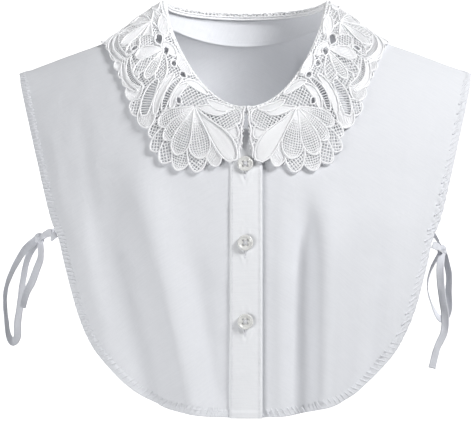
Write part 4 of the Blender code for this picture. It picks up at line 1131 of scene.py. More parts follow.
    def sewn_piece(self, name: str, lines: list[np.ndarray], tucks: list[np.ndarray]) -> bpy.types.Object:
        """Stitches and tucks of one panel as one piece."""
        sewn = along_lines("stitches_" + name, lines, STITCHES, self.palette.sewing)
        drawn = along_lines(
            "tucks_" + name, tucks, TUBES, self.palette.cotton, Radius=self.tuck_radius, Sides=6
        )
        return joined("stitches_" + name, [sewn, drawn])

    def build(self) -> dict[str, bpy.types.Object]:
        cuts = {
            "front_panel_right": PanelCut(
                Side.RIGHT,
                Face.FRONT,
                past_centre=OVERLAP,
                puckers=RIGHT_PUCKERS,
                tucks=RIGHT_TUCKS,
            ),
            "front_panel_left": PanelCut(
                Side.LEFT,
                Face.FRONT,
                past_centre=UNDERLAP,
                sunk=True,
                puckers=LEFT_PUCKERS,
                tucks=LEFT_TUCKS,
            ),
        }
        made = {}
        for name, cut in cuts.items():
            points, normals, thick = self.surface(cut)
            panel = shell(
                "cotton_" + name, points, normals, self.inner, self.outer + thick, self.palette.cotton
            )
            line, tucks = self.sewing(cut, points, normals, thick)
            sewn = self.sewn_piece(name, [line], tucks)
            made[name] = self.declare(panel, sewn, name, 1.0)
        halves, lines, tucks = [], [], []
        for side in (Side.RIGHT, Side.LEFT):
            cut = PanelCut(
                side,
                Face.BACK,
                inset=self.back_inset,
                columns=56,
                rows=96,
                neck_rows=40,
                puckers=BACK_PUCKERS,
                tucks=BACK_TUCKS,
            )
            points, normals, thick = self.surface(cut)
            row, drawn = self.sewing(cut, points, normals, thick)
            lines.append(row)
            tucks += drawn
            halves.append((points, normals, thick))
        grid, normals, thick = (
            np.concatenate([halves[0][k][:, ::-1], halves[1][k]], axis=1) for k in range(3)
        )
        panel = shell(
            "cotton_back_panel",
            grid,
            normals,
            self.inner,
            self.outer + thick,
            self.palette.cotton,
            open_rows=cut.neck_rows,
        )
        sewn = self.sewn_piece("back_panel", lines, tucks)
        made["back_panel"] = self.declare(panel, sewn, "back_panel", 2.0)
        return made

    def declare(
        self, panel: bpy.types.Object, sewn: bpy.types.Object, node: str, halves: float
    ) -> bpy.types.Object:
        """Rides one panel and its stitches, and logs how many points the panel has."""
        dress(panel, "cotton", node)
        dress(sewn, "cotton")
        log.info("%s: %d points", panel.name, len(panel.data.vertices))
        return panel


BUTTON_X = -0.6 * MM
BUTTON_HEIGHTS = (-111.5 * MM, -168.5 * MM, -225.5 * MM)
BUTTON_LIFT = 3.0 * MM


@dataclass
class Placket:
    """The buttoned strip down the centre, with its dimples at the buttons and its buttonholes."""

    palette: Palette
    right_edge: float = OVERLAP - 0.4 * MM
    left_edge: float = -OVERLAP
    columns: int = 44
    rows: int = 230
    base: float = 1.2 * MM
    outer: float = 2.5 * MM
    round_edge: float = 1.3 * MM
    bead: float = 0.30 * MM
    dimple: float = 0.55 * MM
    hole_length: float = 15 * MM
    hole_width: float = 2.0 * MM
    hole_drop: float = 3.2 * MM
    stitch_inset: float = 2.0 * MM
    stitch_lift: float = 0.06 * MM

    def relief(self, x: np.ndarray, z: np.ndarray) -> np.ndarray:
        """Puckers along the edges, dimples under the buttons and the creases that run from them."""
        left, right = x - self.left_edge, self.right_edge - x
        wave = np.sin(2 * math.pi * z / (6.1 * MM) + 1.3 * np.sin(z / (19 * MM)))
        move = 0.14 * MM * wave * np.exp(-((left / (2.5 * MM)) ** 2))
        wave = np.sin(2 * math.pi * z / (7.3 * MM) + 1.1 * np.sin(z / (23 * MM)))
        move = move + 0.16 * MM * wave * np.exp(-((right / (2.2 * MM)) ** 2))
        move = move + self.bead * np.exp(-(((right - 1.1 * MM) / (0.9 * MM)) ** 2))
        for height in BUTTON_HEIGHTS:
            drop, across = height - z, np.abs(x - BUTTON_X)
            gap = np.hypot(x - BUTTON_X, z - height)
            move = move - self.dimple * np.exp(-((gap / (6.5 * MM)) ** 2))
            window = ease((drop - 4 * MM) / (3 * MM)) * ease((17 * MM - drop) / (6 * MM))
            spread = 1.2 * MM + 0.42 * (15 * MM - drop).clip(0, 1)
            move = move + 0.42 * MM * np.exp(-(((across - spread) / (1.1 * MM)) ** 2)) * window
            move = move - 0.25 * MM * np.exp(-((across / (1.2 * MM)) ** 2)) * window
            upper = ease((-drop - 4 * MM) / (3 * MM)) * ease((13 * MM + drop) / (5 * MM))
            move = move + 0.2 * MM * np.exp(-(((across - 2.6 * MM) / (1.2 * MM)) ** 2)) * upper
        rough = [noise.noise(Vector((a / 0.011, b / 0.014, SEED))) for a, b in zip(x.flat, z.flat)]
        return move + 0.14 * MM * np.array(rough).reshape(x.shape)

    def build(self) -> bpy.types.Object:
        """Builds the strip, its stitches and its buttonholes."""
        u = (1 - np.cos(np.linspace(0, math.pi, self.columns))) / 2
        u = 0.55 * u + 0.45 * np.linspace(0, 1, self.columns)
        xs = self.left_edge + (self.right_edge - self.left_edge) * u
        start = np.array([FIGURE.turn_at_depth(abs(x), -NECK.front_depth) for x in xs])
        stop = FIGURE.turn_at_height(np.abs(xs), -296 * MM, Face.FRONT)
        v = np.linspace(0, 1, self.rows)[:, None]
        turn = start[None] * (1 - v) + stop[None] * v
        x = np.broadcast_to(xs[None], turn.shape)
        points, normals = FIGURE.skin(x, turn), FIGURE.normals(x, turn)
        from_edge = np.minimum(x - self.left_edge, self.right_edge - x)
        inward = np.clip(1 - from_edge / self.round_edge, 0, 1)
        curve = np.sqrt(1 - inward**2)
        from_hem = (points[..., 2] + 296 * MM) / HEM_WIDTH
        hem = 0.6 * MM * ease((1.08 - from_hem) / 0.15)
        low = np.full(x.shape, self.base) + 0.3 * MM * curve + hem
        high = self.base + 0.15 * MM + (self.outer - self.base) * curve + hem
        move = self.relief(x, points[..., 2])
        high = np.maximum(high + move, low + 0.3 * MM)
        strip = shell("cotton_placket", points, normals, low, high, self.palette.double)
        rows = []
        for target in (self.left_edge + self.stitch_inset, self.right_edge - self.stitch_inset):
            k = int(np.argmin(np.abs(xs - target)))
            rows.append(points[:, k] + normals[:, k] * (high[:, k] + self.stitch_lift)[:, None])
        sewn = along_lines(
            "stitches_placket", rows, STITCHES, self.palette.sewing, Pitch=2.4 * MM, Length=1.7 * MM
        )
        holes = self.buttonholes()
        dress(strip, "cotton", "front_placket")
        dress(sewn, "cotton")
        dress(holes, "cotton")
        log.info("%s: %d points", strip.name, len(strip.data.vertices))
        return strip

    def buttonholes(self) -> bpy.types.Object:
        """The worked edges of the upright buttonholes below the buttons."""
        rings = []
        for height in BUTTON_HEIGHTS:
            middle = height - self.hole_drop
            ring = []
            for angle in np.linspace(0, 2 * math.pi, 40, endpoint=False):
                x = BUTTON_X + self.hole_width / 2 * math.cos(angle)
                z = middle + self.hole_length / 2 * math.sin(angle)
                turn = float(FIGURE.turn_at_height(abs(x), z, Face.FRONT))
                lift = self.outer - self.dimple * 0.6 + 0.2 * MM
                ring.append(FIGURE.skin(x, turn) + FIGURE.normals(x, turn) * lift)
            rings.append(np.array(ring))
        return along_lines(
            "buttonholes",
            rings,
            TUBES,
            self.palette.sewing,
            closed=True,
            Radius=0.42 * MM,
            Sides=8,
            Unevenness=0.5,
        )


@dataclass
class NeckStand:
    """The stand between the neck seam and the fold, open at the centre front."""

    palette: Palette
    stations: int = 130
    rows: int = 18
    above_seam: float = -0.9 * MM
    below_fold: float = 1.5 * MM
    inner: float = -0.1 * MM
    outer: float = 1.0 * MM
    stitch_rows: tuple = (2.4 * MM, 5.2 * MM)

    def build(self) -> bpy.types.Object:
        """Builds the band and the stitch rows on its inner face."""
        angles = np.radians(np.linspace(89, -90, self.stations))
        ring = [NECK.station(angle, Side.RIGHT) for angle in angles]
        ring += [NECK.station(angle, Side.LEFT) for angle in angles[-2::-1]]
        grid, normals = [], []
        for row in ring:
            seam_normal = FIGURE.normals(row["x"], row["turn"])
            lean = max(float(seam_normal @ row["rise"]), 0.0)
            start = self.above_seam + SOLID_CLOTH * lean
            height = np.linalg.norm(row["fold"] - row["seam"]) - self.below_fold
            lifts = np.linspace(start, height, self.rows)
            grid.append(row["seam"] + row["rise"] * lifts[:, None])
            normals.append(np.tile(row["out"], (self.rows, 1)))
        grid, normals = np.array(grid), np.array(normals)
        rough = [noise.noise(Vector((p[0], p[1], 2.2 * p[2])) / (13 * MM)) for p in grid.reshape(-1, 3)]
        wave = 0.16 * MM * np.array(rough).reshape(grid.shape[:2])
        band = shell(
            "cotton_neck_stand", grid, normals, self.inner + wave, self.outer + wave, self.palette.cotton
        )
        lines = []
        run = np.linalg.norm(grid - grid[:, -1:], axis=2)
        for drop in self.stitch_rows:
            k = np.argmin(np.abs(run - drop), axis=1)
            i = np.arange(len(grid))
            lines.append(grid[i, k] + normals[i, k] * (self.inner + wave[i, k] - 0.11 * MM)[:, None])
        lines.append(grid[:, 3] + normals[:, 3] * (self.inner + wave[:, 3] - 0.03 * MM)[:, None])
        sewn = along_lines(
            "stitches_neck_stand", lines, STITCHES, self.palette.sewing, Pitch=2.2 * MM, Length=1.5 * MM
        )
        dress(band, "cotton", "neck_stand")
        dress(sewn, "cotton")
        log.info("%s: %d points", band.name, len(band.data.vertices))
        return band


# Ties at the sides


@dataclass(frozen=True)
class Stop:
    """A point of a tape's route in mm, and how far its face is turned from the front in degrees."""

    x: float
    y: float
    z: float
    turn: float = 0.0


TIES = {
    "tie_left_front_run": (
        Stop(-141.5, -62, -162, 80),
        Stop(-147, -46, -161.5, 70),
        Stop(-153, -28, -162.5, 55),
        Stop(-157.6, -11.5, -165, 45),
    ),
    "tie_left_back_run": (
        Stop(-140.5, 62, -159, 100),
        Stop(-148, 44, -160.5, 105),
        Stop(-156, 22, -163, 115),
        Stop(-159.6, 2.5, -165.6, 120),
    ),
    "tie_left_loop": (
        Stop(-165.3, -8, -168.4, 20),
        Stop(-171, -9.5, -175, 35),
        Stop(-180, -10, -190, 50),
        Stop(-185.4, -9, -204, 60),
        Stop(-186.6, -8, -217, 65),
        Stop(-185.6, -7, -231, 60),
        Stop(-184.2, -6, -241.5, 50),
        Stop(-181.0, -5, -247.2, 35),
        Stop(-177.6, -4, -243, 10),
        Stop(-177.4, -3, -232, -10),
        Stop(-175.8, -2, -220, -20),
        Stop(-173.4, -1, -199, -30),
        Stop(-169.8, 0, -182, -30),
        Stop(-165.0, 0.5, -171.2, -20),
    ),
    "tie_left_tail": (
        Stop(-157.6, -7.5, -171.4, -35),
        Stop(-158.8, -10, -181, -25),
        Stop(-161.6, -12, -190, -10),
        Stop(-165.2, -13, -200, 10),
        Stop(-169.6, -14, -209, 25),
        Stop(-172.6, -15, -220.5, 35),
    ),
    "tie_right_front_run": (
        Stop(137.6, -63, -170, -80),
        Stop(143, -46, -171, -65),
        Stop(148.5, -27, -173, -50),
        Stop(151.4, -11.6, -175, -35),
    ),
    "tie_right_back_run": (
        Stop(138.5, 61, -160, -100),
        Stop(144, 44, -161, -105),
        Stop(150, 25, -164.5, -110),
        Stop(153.4, 2.4, -172.6, -115),
    ),
    "tie_right_loop": (
        Stop(149.4, -2, -180.4, 50),
        Stop(145.6, -3, -187.5, 65),
        Stop(142.2, -4, -198, 75),
        Stop(142.0, -5, -208, 80),
        Stop(145.2, -6, -219, 70),
        Stop(149.6, -7, -227, 45),
        Stop(154.2, -7.5, -228.5, 15),
        Stop(157.6, -7, -221, -20),
        Stop(157.8, -6, -208, -35),
        Stop(158.2, -4.5, -194, -40),
        Stop(156.8, -3, -180.6, -40),
    ),
    "tie_right_tail": (
        Stop(151.6, -11.8, -180.2, 10),
        Stop(150.4, -14, -188, 0),
        Stop(150.6, -15, -200, -10),
        Stop(152.2, -15.5, -214, -20),
        Stop(154.0, -16, -227, -15),
        Stop(153.0, -16.5, -239, 0),
        Stop(147.6, -17, -251, 20),
        Stop(143.6, -17.5, -266.5, 10),
    ),
}
KNOTS = {
    "tie_left_knot": Stop(-160.4, -4.5, -166.4),
    "tie_right_knot": Stop(152.8, -5.0, -175.6),
}


@dataclass
class SideTies:
    """The narrow tapes of one side: two runs from the panels' edges to a knot, a loop and a tail."""

    palette: Palette
    side: str
    width: float = 6.0 * MM
    thickness: float = 0.55 * MM
    seat_gap: float = 0.85 * MM
    knot_radius: float = 4.6 * MM
    selvedge: float = 0.22 * MM
    back_inset: float = 3 * MM

    @property
    def sign(self) -> int:
        """The sign of X on this side of the picture."""
        return -1 if self.side == "left" else 1

    @property
    def middle(self) -> np.ndarray:
        """The knot's centre."""
        row = KNOTS[f"tie_{self.side}_knot"]
        return np.array([row.x, row.y, row.z]) * MM

    def edge_seat(self, face: Face, z: float) -> tuple[np.ndarray, np.ndarray, np.ndarray]:
        """A point just clear of a panel's side edge, the way out of the edge and its normal."""
        inset = 0.0 if face is Face.FRONT else self.back_inset
        cut = PanelCut(Side(self.sign), face, inset=inset)
        outline = CottonPanels(self.palette).outline(cut)
        rim = FIGURE.skin(outline[:, 0], outline[:, 1])
        order = np.argsort(rim[:, 2])
        at = [np.interp(z, rim[order, 2], outline[order, k]) for k in range(2)]
        normal = FIGURE.normals(at[0], np.array(at[1]))
        above, below = (
            np.array([np.interp(z + step, rim[order, 2], rim[order, k]) for k in range(3)])
            for step in (self.width, -self.width)
        )
        out = np.cross(above - below, normal)
        out /= np.linalg.norm(out)
        if out[0] * self.sign < 0:
            out = -out
        return FIGURE.skin(at[0], at[1]) + normal * SOLID_CLOTH + out * self.seat_gap, out, normal

    def stretch(self, part: str) -> tuple[np.ndarray, np.ndarray]:
        """One stretch's line, from the panel or the knot on, and the way its face looks."""
        rows = TIES[f"tie_{self.side}_{part}"]
        route = np.array([(row.x, row.y, row.z) for row in rows]) * MM
        turns = [math.radians(row.turn) for row in rows]
        ends = {"front_run": [-1], "back_run": [-1], "loop": [0, -1], "tail": [0]}[part]
        for end in ends:
            away = route[end] - self.middle
            route[end] = self.middle + away / np.linalg.norm(away) * self.knot_radius * 0.55
        seat = None
        if part.endswith("run"):
            face = Face.FRONT if part == "front_run" else Face.BACK
            route[0], out, seat = self.edge_seat(face, route[0][2])
            route = np.vstack([route[:1], route[0] + out * 5 * MM, route[1:]])
            turns.insert(1, turns[0])
        line = smooth_line(route, 10)
        shares = np.linspace(0, 1, len(line))
        turned = np.interp(shares, np.linspace(0, 1, len(turns)), turns)
        faces = np.column_stack([np.sin(turned), -np.cos(turned), np.zeros(len(line))])
        if seat is not None:
            seated = np.clip(1 - 2 * shares, 0, 1)[:, None]
            if seat @ faces[0] < 0:
                faces = -faces
            faces = seat * seated + faces * (1 - seated)
        return line, faces

    def ribbon(self, name: str, line: np.ndarray, ways: np.ndarray) -> bpy.types.Object:
        """A flat tape with rounded selvedges along a line."""
        tangents = np.gradient(line, axis=0)
        across = np.cross(tangents, ways)
        across /= np.linalg.norm(across, axis=1, keepdims=True)
        for k in range(1, len(across)):
            if across[k] @ across[k - 1] < 0:
                across[k] = -across[k]
        thick = np.cross(across, tangents)
        thick /= np.linalg.norm(thick, axis=1, keepdims=True)
        shares = np.concatenate([np.linspace(-1, 1, 13), np.linspace(1, -1, 13)])
        lift = np.where(np.arange(26) < 13, 1.0, -1.0)
        bulge = np.sqrt(np.clip(1 - np.abs(shares) ** 8, 0, 1)) + 0.5 * np.exp(
            -(((np.abs(shares) - 0.86) / 0.08) ** 2)
        )
        ring = lift * bulge * self.thickness / 2
        run = lengths(line)
        cup = 0.35 * MM * np.sin(run / (6.3 * MM))[:, None] * (1 - shares[None] ** 2)
        cup = cup + 0.12 * MM * np.sin(run / (1.9 * MM))[:, None] * shares[None]
        points = (
            line[:, None]
            + across[:, None] * (shares * self.width / 2)[None, :, None]
            + thick[:, None] * (ring[None] + cup)[..., None]
        )
        rows, columns = points.shape[:2]
        i, j = np.meshgrid(np.arange(rows - 1), np.arange(columns), indexing="ij")
        a, b = i * columns + j, i * columns + (j + 1) % columns
        quads = np.stack([a, b, b + columns, a + columns], axis=-1).reshape(-1, 4)
        last = (rows - 1) * columns
        faces = [tuple(f) for f in quads.tolist()]
        faces += [tuple(range(columns - 1, -1, -1)), tuple(range(last, last + columns))]
        flat = points.reshape(-1, 3)
        middle = quads[2]
        first, second, third = (flat[middle[k]] for k in range(3))
        if np.cross(second - first, third - first) @ (first - line[0]) < 0:
            faces = [face[::-1] for face in faces]
        uv = np.stack(
            [np.broadcast_to(shares * self.width / 2, (rows, columns)).ravel(), np.repeat(run, columns)],
            axis=1,
        )
        return add_mesh(name, flat, faces, self.palette.tape, uv)

    def knot(self) -> bpy.types.Object:
        """The small tied knot: wraps of tape around a core."""
        core = []
        rings = 22
        for i, polar in enumerate(np.linspace(0.08, math.pi - 0.08, rings)):
            for angle in np.linspace(0, 2 * math.pi, 34, endpoint=False):
                fold = 0.30 * MM * math.sin(3 * angle + 4 * polar) + 0.22 * MM * math.sin(7 * polar + angle)
                waist = 1 - 0.13 * math.exp(-(((polar - math.pi / 2) / 0.25) ** 2))
                radius = (self.knot_radius - 0.55 * MM + fold) * waist
                core.append(
                    self.middle
                    + radius
                    * np.array(
                        [
                            math.sin(polar) * math.cos(angle),
                            math.sin(polar) * math.sin(angle) * 0.9,
                            math.cos(polar),
                        ]
                    )
                )
        core = np.array(core).reshape(rings, 34, 3)
        faces = []
        for i in range(rings - 1):
            for j in range(34):
                after = (j + 1) % 34
                faces.append((i * 34 + j, (i + 1) * 34 + j, (i + 1) * 34 + after, i * 34 + after))
        faces.append(tuple(range(34)))
        faces.append(tuple((rings - 1) * 34 + k for k in range(33, -1, -1)))
        uv = np.array([(4 * MM * j / 5, 4 * MM * i / 5) for i in range(rings) for j in range(34)])
        return add_mesh(f"knot_{self.side}", core.reshape(-1, 3), faces, self.palette.tape, uv)

    def build(self) -> list[bpy.types.Object]:
        knot = self.knot()
        dress(knot, "tape", f"tie_{self.side}_knot")
        made = []
        for first, second, end in (("front_run", "tail", "bare"), ("back_run", "loop", "knot")):
            run, run_ways = self.stretch(first)
            rest, rest_ways = self.stretch(second)
            line = np.vstack([run, self.middle[None], rest])
            if np.linalg.norm(run_ways[-1] + rest_ways[0]) < 1:
                rest_ways = -rest_ways
            ways = np.vstack([run_ways, (run_ways[-1] + rest_ways[0])[None] / 2, rest_ways])
            marks = lengths(line)
            even = np.arange(0, marks[-1], 1.0 * MM)
            line = np.stack([np.interp(even, marks, line[:, k]) for k in range(3)], axis=1)
            ways = np.stack([np.interp(even, marks, ways[:, k]) for k in range(3)], axis=1)
            tape = self.ribbon(f"tape_{self.side}_{first}", line, ways)
            dress(tape, "tape", f"tie_{self.side}_{first}", f"tie_{self.side}_{second}")
            log.info("%s: %.0f mm long", tape.name, lengths(line)[-1] / MM)
            made.append(tape)
        return made


# Buttons


@dataclass
class Buttons:
    """Three sewn-through buttons with a rolled rim."""

    palette: Palette
    radius: float = 5.75 * MM
    thickness: float = 2.2 * MM
    hole_radius: float = 0.75 * MM
    hole_offset: float = 1.5 * MM
    segments: int = 72

    def frame(self, height: float) -> tuple[np.ndarray, np.ndarray, np.ndarray, np.ndarray]:
        """The seat and the across, up and outward ways of the button at this height."""
        turn = float(FIGURE.turn_at_height(abs(BUTTON_X), height, Face.FRONT))
        normal = FIGURE.normals(BUTTON_X, np.array(turn))
        across = -np.cross(np.array([0, 0, 1.0]), normal)
        across /= np.linalg.norm(across)
        seat = FIGURE.skin(BUTTON_X, turn) + normal * BUTTON_LIFT
        return seat, across, np.cross(normal, across), normal

    def holes(self) -> list[tuple[float, float]]:
        """Centres of the four holes on the button's face."""
        o = self.hole_offset
        return [(o, o), (-o, o), (-o, -o), (o, -o)]

    def build_one(self, number: int, height: float) -> bpy.types.Object:
        """Builds one button with its threads."""
        seat, across, up, out = self.frame(height)
        shares = [0.0, 0.7, 0.90, 0.975, 1.0, 0.985, 0.93, 0.86, 0.79, 0.73, 0.66]
        levels = [0.0, 0.0, 0.04, 0.18, 0.45, 0.75, 0.95, 1.0, 0.93, 0.76, 0.66]
        points, faces = [], []
        count = self.segments
        for share, level in zip(shares[1:], levels[1:]):
            for k in range(count):
                angle = 2 * math.pi * k / count
                radius = self.radius * share
                points.append((radius * math.cos(angle), radius * math.sin(angle), level * self.thickness))
        rings = len(shares) - 1
        for i in range(rings - 1):
            for k in range(count):
                a, b = i * count + k, i * count + (k + 1) % count
                faces.append((a, b, b + count, a + count))
        well = 0.62 * self.thickness
        inner_ring = (rings - 1) * count
        grid = {}
        size = 25
        limit = self.radius * 0.60
        for i in range(size):
            for j in range(size):
                u, v = 2 * i / (size - 1) - 1, 2 * j / (size - 1) - 1
                x = limit * u * math.sqrt(1 - v * v / 2)
                y = limit * v * math.sqrt(1 - u * u / 2)
                depth = 0.0
                for hx, hy in self.holes():
                    gap = math.hypot(x - hx, y - hy)
                    edge = np.array((self.hole_radius * 1.25 - gap) / (0.35 * MM))
                    depth = max(depth, 1.5 * MM * float(ease(edge)))
                grid[i, j] = len(points)
                points.append((x, y, well - depth))
        for i in range(size - 1):
            for j in range(size - 1):
                faces.append((grid[i, j], grid[i + 1, j], grid[i + 1, j + 1], grid[i, j + 1]))
        rim = [(i, 0) for i in range(size)] + [(size - 1, j) for j in range(1, size)]
        rim += [(i, size - 1) for i in range(size - 2, -1, -1)] + [(0, j) for j in range(size - 2, 0, -1)]
        rim_angles = [math.atan2(points[grid[key]][1], points[grid[key]][0]) % (2 * math.pi) for key in rim]
        start = int(np.argmin(rim_angles))
        rim = rim[start:] + rim[:start]
        inner = [grid[key] for key in rim]
        i = j = 0
        while i < count or j < len(inner):
            outer_next = 2 * math.pi * (i + 1) / count
            inner_angle = (rim_angles[(start + j + 1) % len(inner)]) if j + 1 < len(inner) else 2 * math.pi
            if j >= len(inner) or (i < count and outer_next <= inner_angle):
                faces.append((inner_ring + i, inner_ring + (i + 1) % count, inner[j % len(inner)]))
                i += 1
            else:
                faces.append((inner_ring + i % count, inner[(j + 1) % len(inner)], inner[j % len(inner)]))
                j += 1
        faces.append(tuple(range(count - 1, -1, -1)))
        placed = [seat + across * x + up * y + out * z for x, y, z in points]
        made = add_mesh(f"button_{number}_disc", np.array(placed), faces, self.palette.button)
        threads = []
        holes = self.holes()
        for first, second in ((0, 2), (1, 3)):
            for shift in (-0.28, 0.0, 0.28):
                line = []
                for t in np.linspace(0, 1, 11):
                    x = holes[first][0] + (holes[second][0] - holes[first][0]) * t
                    y = holes[first][1] + (holes[second][1] - holes[first][1]) * t
                    side = shift * MM * (1 if first == 0 else -1)
                    arch = well + 0.42 * MM * math.sin(math.pi * t) - 0.9 * MM * (2 * t - 1) ** 8
                    line.append(seat + across * (x + side) + up * (y - shift * MM) + out * arch)
                threads.append(np.array(line))
        sewn = along_lines(
            f"button_{number}_threads",
            threads,
            TUBES,
            self.palette.sewing,
            Radius=0.17 * MM,
            Sides=6,
        )
        dress(made, "button", f"button_{number}")
        dress(sewn, "button")
        return made

    def build(self) -> list[bpy.types.Object]:
        """Builds every button."""
        made = [self.build_one(k + 1, height) for k, height in enumerate(BUTTON_HEIGHTS)]
        log.info("buttons: %d", len(made))
        return made


# The collar's form and its lace


@dataclass(frozen=True)
class EdgeRow:
    """Where the collar's outer edge lands: share of the fold's length, and x and z in mm."""

    share: float
    x: float
    z: float
    face: Face | None


COLLAR_EDGE = (
    EdgeRow(0.00, 3, -108, Face.FRONT),
    EdgeRow(0.05, 34, -119, Face.FRONT),
    EdgeRow(0.11, 57, -114, Face.FRONT),
    EdgeRow(0.18, 73, -99, Face.FRONT),
    EdgeRow(0.26, 84, -76, Face.FRONT),
    EdgeRow(0.35, 92, -52, Face.FRONT),
    EdgeRow(0.46, 101, -34, Face.FRONT),
    EdgeRow(0.605, 112, 0, None),
    EdgeRow(0.72, 101, -26, Face.BACK),
    EdgeRow(0.82, 78, -38, Face.BACK),
    EdgeRow(0.91, 42, -42, Face.BACK),
    EdgeRow(1.00, 0, -42, Face.BACK),
)


class CollarForm:
    """The underside of one collar half as a table of sections, and its flat pattern."""

    stations: int = 161
    steps: int = 60
    roll_radius: float = 1.5 * MM
    roll_leg: float = 3.0 * MM
    roll_arc: float = math.radians(135)
    collar_lift: float = 1.9 * MM
    placket_lift: float = 2.2 * MM
    fall_power: float = 1.7
    swell_at: float = 0.25
    stand_clear: float = 2.7 * MM

    def __init__(self, side: Side) -> None:
        """Builds the table of sections and the flat pattern of this side's half."""
        self.side = side
        angles = np.linspace(math.pi / 2, -math.pi / 2, 400)
        run = lengths(np.array([NECK.fold(angle) for angle in angles]))
        shares = np.linspace(0, 1, self.stations)
        at = np.interp(shares, run / run[-1], angles)
        edge = np.array([self.edge_point(row) for row in COLLAR_EDGE])
        marks = [row.share for row in COLLAR_EDGE]
        edge_x, edge_turn = (
            np.interp(shares, *smooth_line(np.column_stack([marks, edge[:, k]]), 12).T) for k in (0, 1)
        )
        sections = [
            self.section(NECK.station(angle, side), side.value * x, turn)
            for angle, x, turn in zip(at, edge_x, edge_turn)
        ]
        self.widths = np.array([lengths(section)[-1] for section in sections])
        steps = np.linspace(0, 1, self.steps)
        self.table = np.array(
            [
                [np.interp(steps, lengths(s) / lengths(s)[-1], s[:, k]) for k in range(3)]
                for s in sections
            ]
        ).transpose(0, 2, 1)
        normal = np.cross(np.gradient(self.table, axis=1), np.gradient(self.table, axis=0)) * side.value
        self.normals = normal / np.linalg.norm(normal, axis=-1, keepdims=True)
        self.flatten()

    @staticmethod
    def edge_point(row: EdgeRow) -> tuple[float, float]:
        """Where the outer edge lands, as (x, turn) on the wearer's left side."""
        if row.face is None:
            return row.x * MM, 0.0
        return row.x * MM, float(FIGURE.turn_at_height(row.x * MM, row.z * MM, row.face))

    def section(self, station: dict, edge_x: float, edge_turn: float) -> np.ndarray:
        """The collar's underside from the inner edge, over the fold and down to the outer edge."""
        rise, out = station["rise"], station["out"]
        centre = station["fold"] + out * SOLID_CLOTH / 2 - rise * self.roll_radius
        leg = [centre - out * self.roll_radius - rise * self.roll_leg * (1 - k / 3) for k in range(3)]
        arc = [
            centre + self.roll_radius * (math.cos(angle) * out + math.sin(angle) * rise)
            for angle in np.linspace(math.pi, math.pi - self.roll_arc, 9)
        ]
        top = arc[-1]
        seam_normal = FIGURE.normals(station["x"], np.array(station["turn"]))
        height = float(np.linalg.norm(station["fold"] - station["seam"]))
        bulge = self.stand_clear + height * max(0.0, -float(rise @ seam_normal))
        share = np.linspace(0, 1, 40)[1:]
        x = station["x"] + (edge_x - station["x"]) * share
        turn = station["turn"] + (edge_turn - station["turn"]) * share
        skin = FIGURE.skin(x, turn)
        near = np.exp(-((x / (OVERLAP + 6 * MM)) ** 4))
        lift = FIGURE.normals(x, turn) * (self.collar_lift + self.placket_lift * near)[:, None]
        start = FIGURE.skin(station["x"], station["turn"])
        keep = ((1 - share) ** self.fall_power)[:, None]
        swell = 1 - (1 - np.minimum(share / self.swell_at, 1.0)) ** 2
        fade = np.maximum(share - self.swell_at, 0.0) / (1 - self.swell_at)
        swell = (swell * (0.5 + 0.5 * np.cos(math.pi * fade)))[:, None]
        fall = skin + keep * (top - start) + (1 - keep) * lift + out * bulge * swell
        return np.vstack([leg, arc, fall])

    def flatten(self) -> None:
        """Lays the fold line out as a plane curve whose sections fan out as the real ones do."""
        middle = self.steps // 2
        inner = round(0.1 * self.steps)
        run_middle = np.diff(lengths(self.table[:, middle]))
        run_inner = np.diff(lengths(self.table[:, inner]))
        reach = 0.5 * (self.widths[1:] + self.widths[:-1]) * (0.5 - inner / self.steps)
        self.heading = np.concatenate([[0], np.cumsum((run_middle - run_inner) / reach)])
        mean = 0.5 * (self.heading[1:] + self.heading[:-1])
        steps = np.column_stack([np.cos(mean), np.sin(mean)]) * run_inner[:, None]
        self.base = np.vstack([[0, 0], np.cumsum(steps, axis=0)])
        self.outward = np.column_stack([np.sin(self.heading), -np.cos(self.heading)])
        self.along = np.concatenate([[0], np.cumsum(run_inner)])
        self.length = self.along[-1]

    def flat(self, along: np.ndarray, out: np.ndarray) -> np.ndarray:
        """Flat pattern points at distances along the fold and out from the inner edge."""
        place = np.stack([np.interp(along, self.along, self.base[:, k]) for k in range(2)], axis=-1)
        way = np.stack([np.interp(along, self.along, self.outward[:, k]) for k in range(2)], axis=-1)
        return place + way * np.asarray(out)[..., None]

    def turned(self, along: float, out: float, degrees: float) -> tuple[float, float, float]:
        """A foot point in mm and the heading of a motif turned this far from straight out."""
        x, y = self.flat(np.array(along * MM), np.array(out * MM)) / MM
        heading = np.interp(along * MM, self.along, self.heading)
        return float(x), float(y), math.degrees(float(heading)) - 90 + degrees

    def unflat(self, points: np.ndarray) -> tuple[np.ndarray, np.ndarray]:
        """Distance along the fold and out, of flat pattern points."""
        along, outs = np.zeros(len(points)), np.zeros(len(points))
        tangent = np.column_stack([-self.outward[:, 1], self.outward[:, 0]])
        for start in range(0, len(points), 4000):
            part = slice(start, start + 4000)
            offset = points[part, None, :] - self.base[None]
            ahead = np.einsum("pkc,kc->pk", offset, tangent)
            out = np.einsum("pkc,kc->pk", offset, self.outward)
            cross = (ahead[:, :-1] >= 0) & (ahead[:, 1:] < 0)
            edge = np.where(ahead[:, 0] < 0, 0, self.stations - 2)
            first = np.where(cross.any(axis=1), cross.argmax(axis=1), edge)
            rows = np.arange(len(offset))
            a, b = ahead[rows, first], ahead[rows, first + 1]
            t = np.clip(a / np.where(np.abs(a - b) < 1e-12, 1, a - b), 0, 1)
            along[part] = self.along[first] * (1 - t) + self.along[first + 1] * t
            outs[part] = out[rows, first] * (1 - t) + out[rows, first + 1] * t
        return along, outs

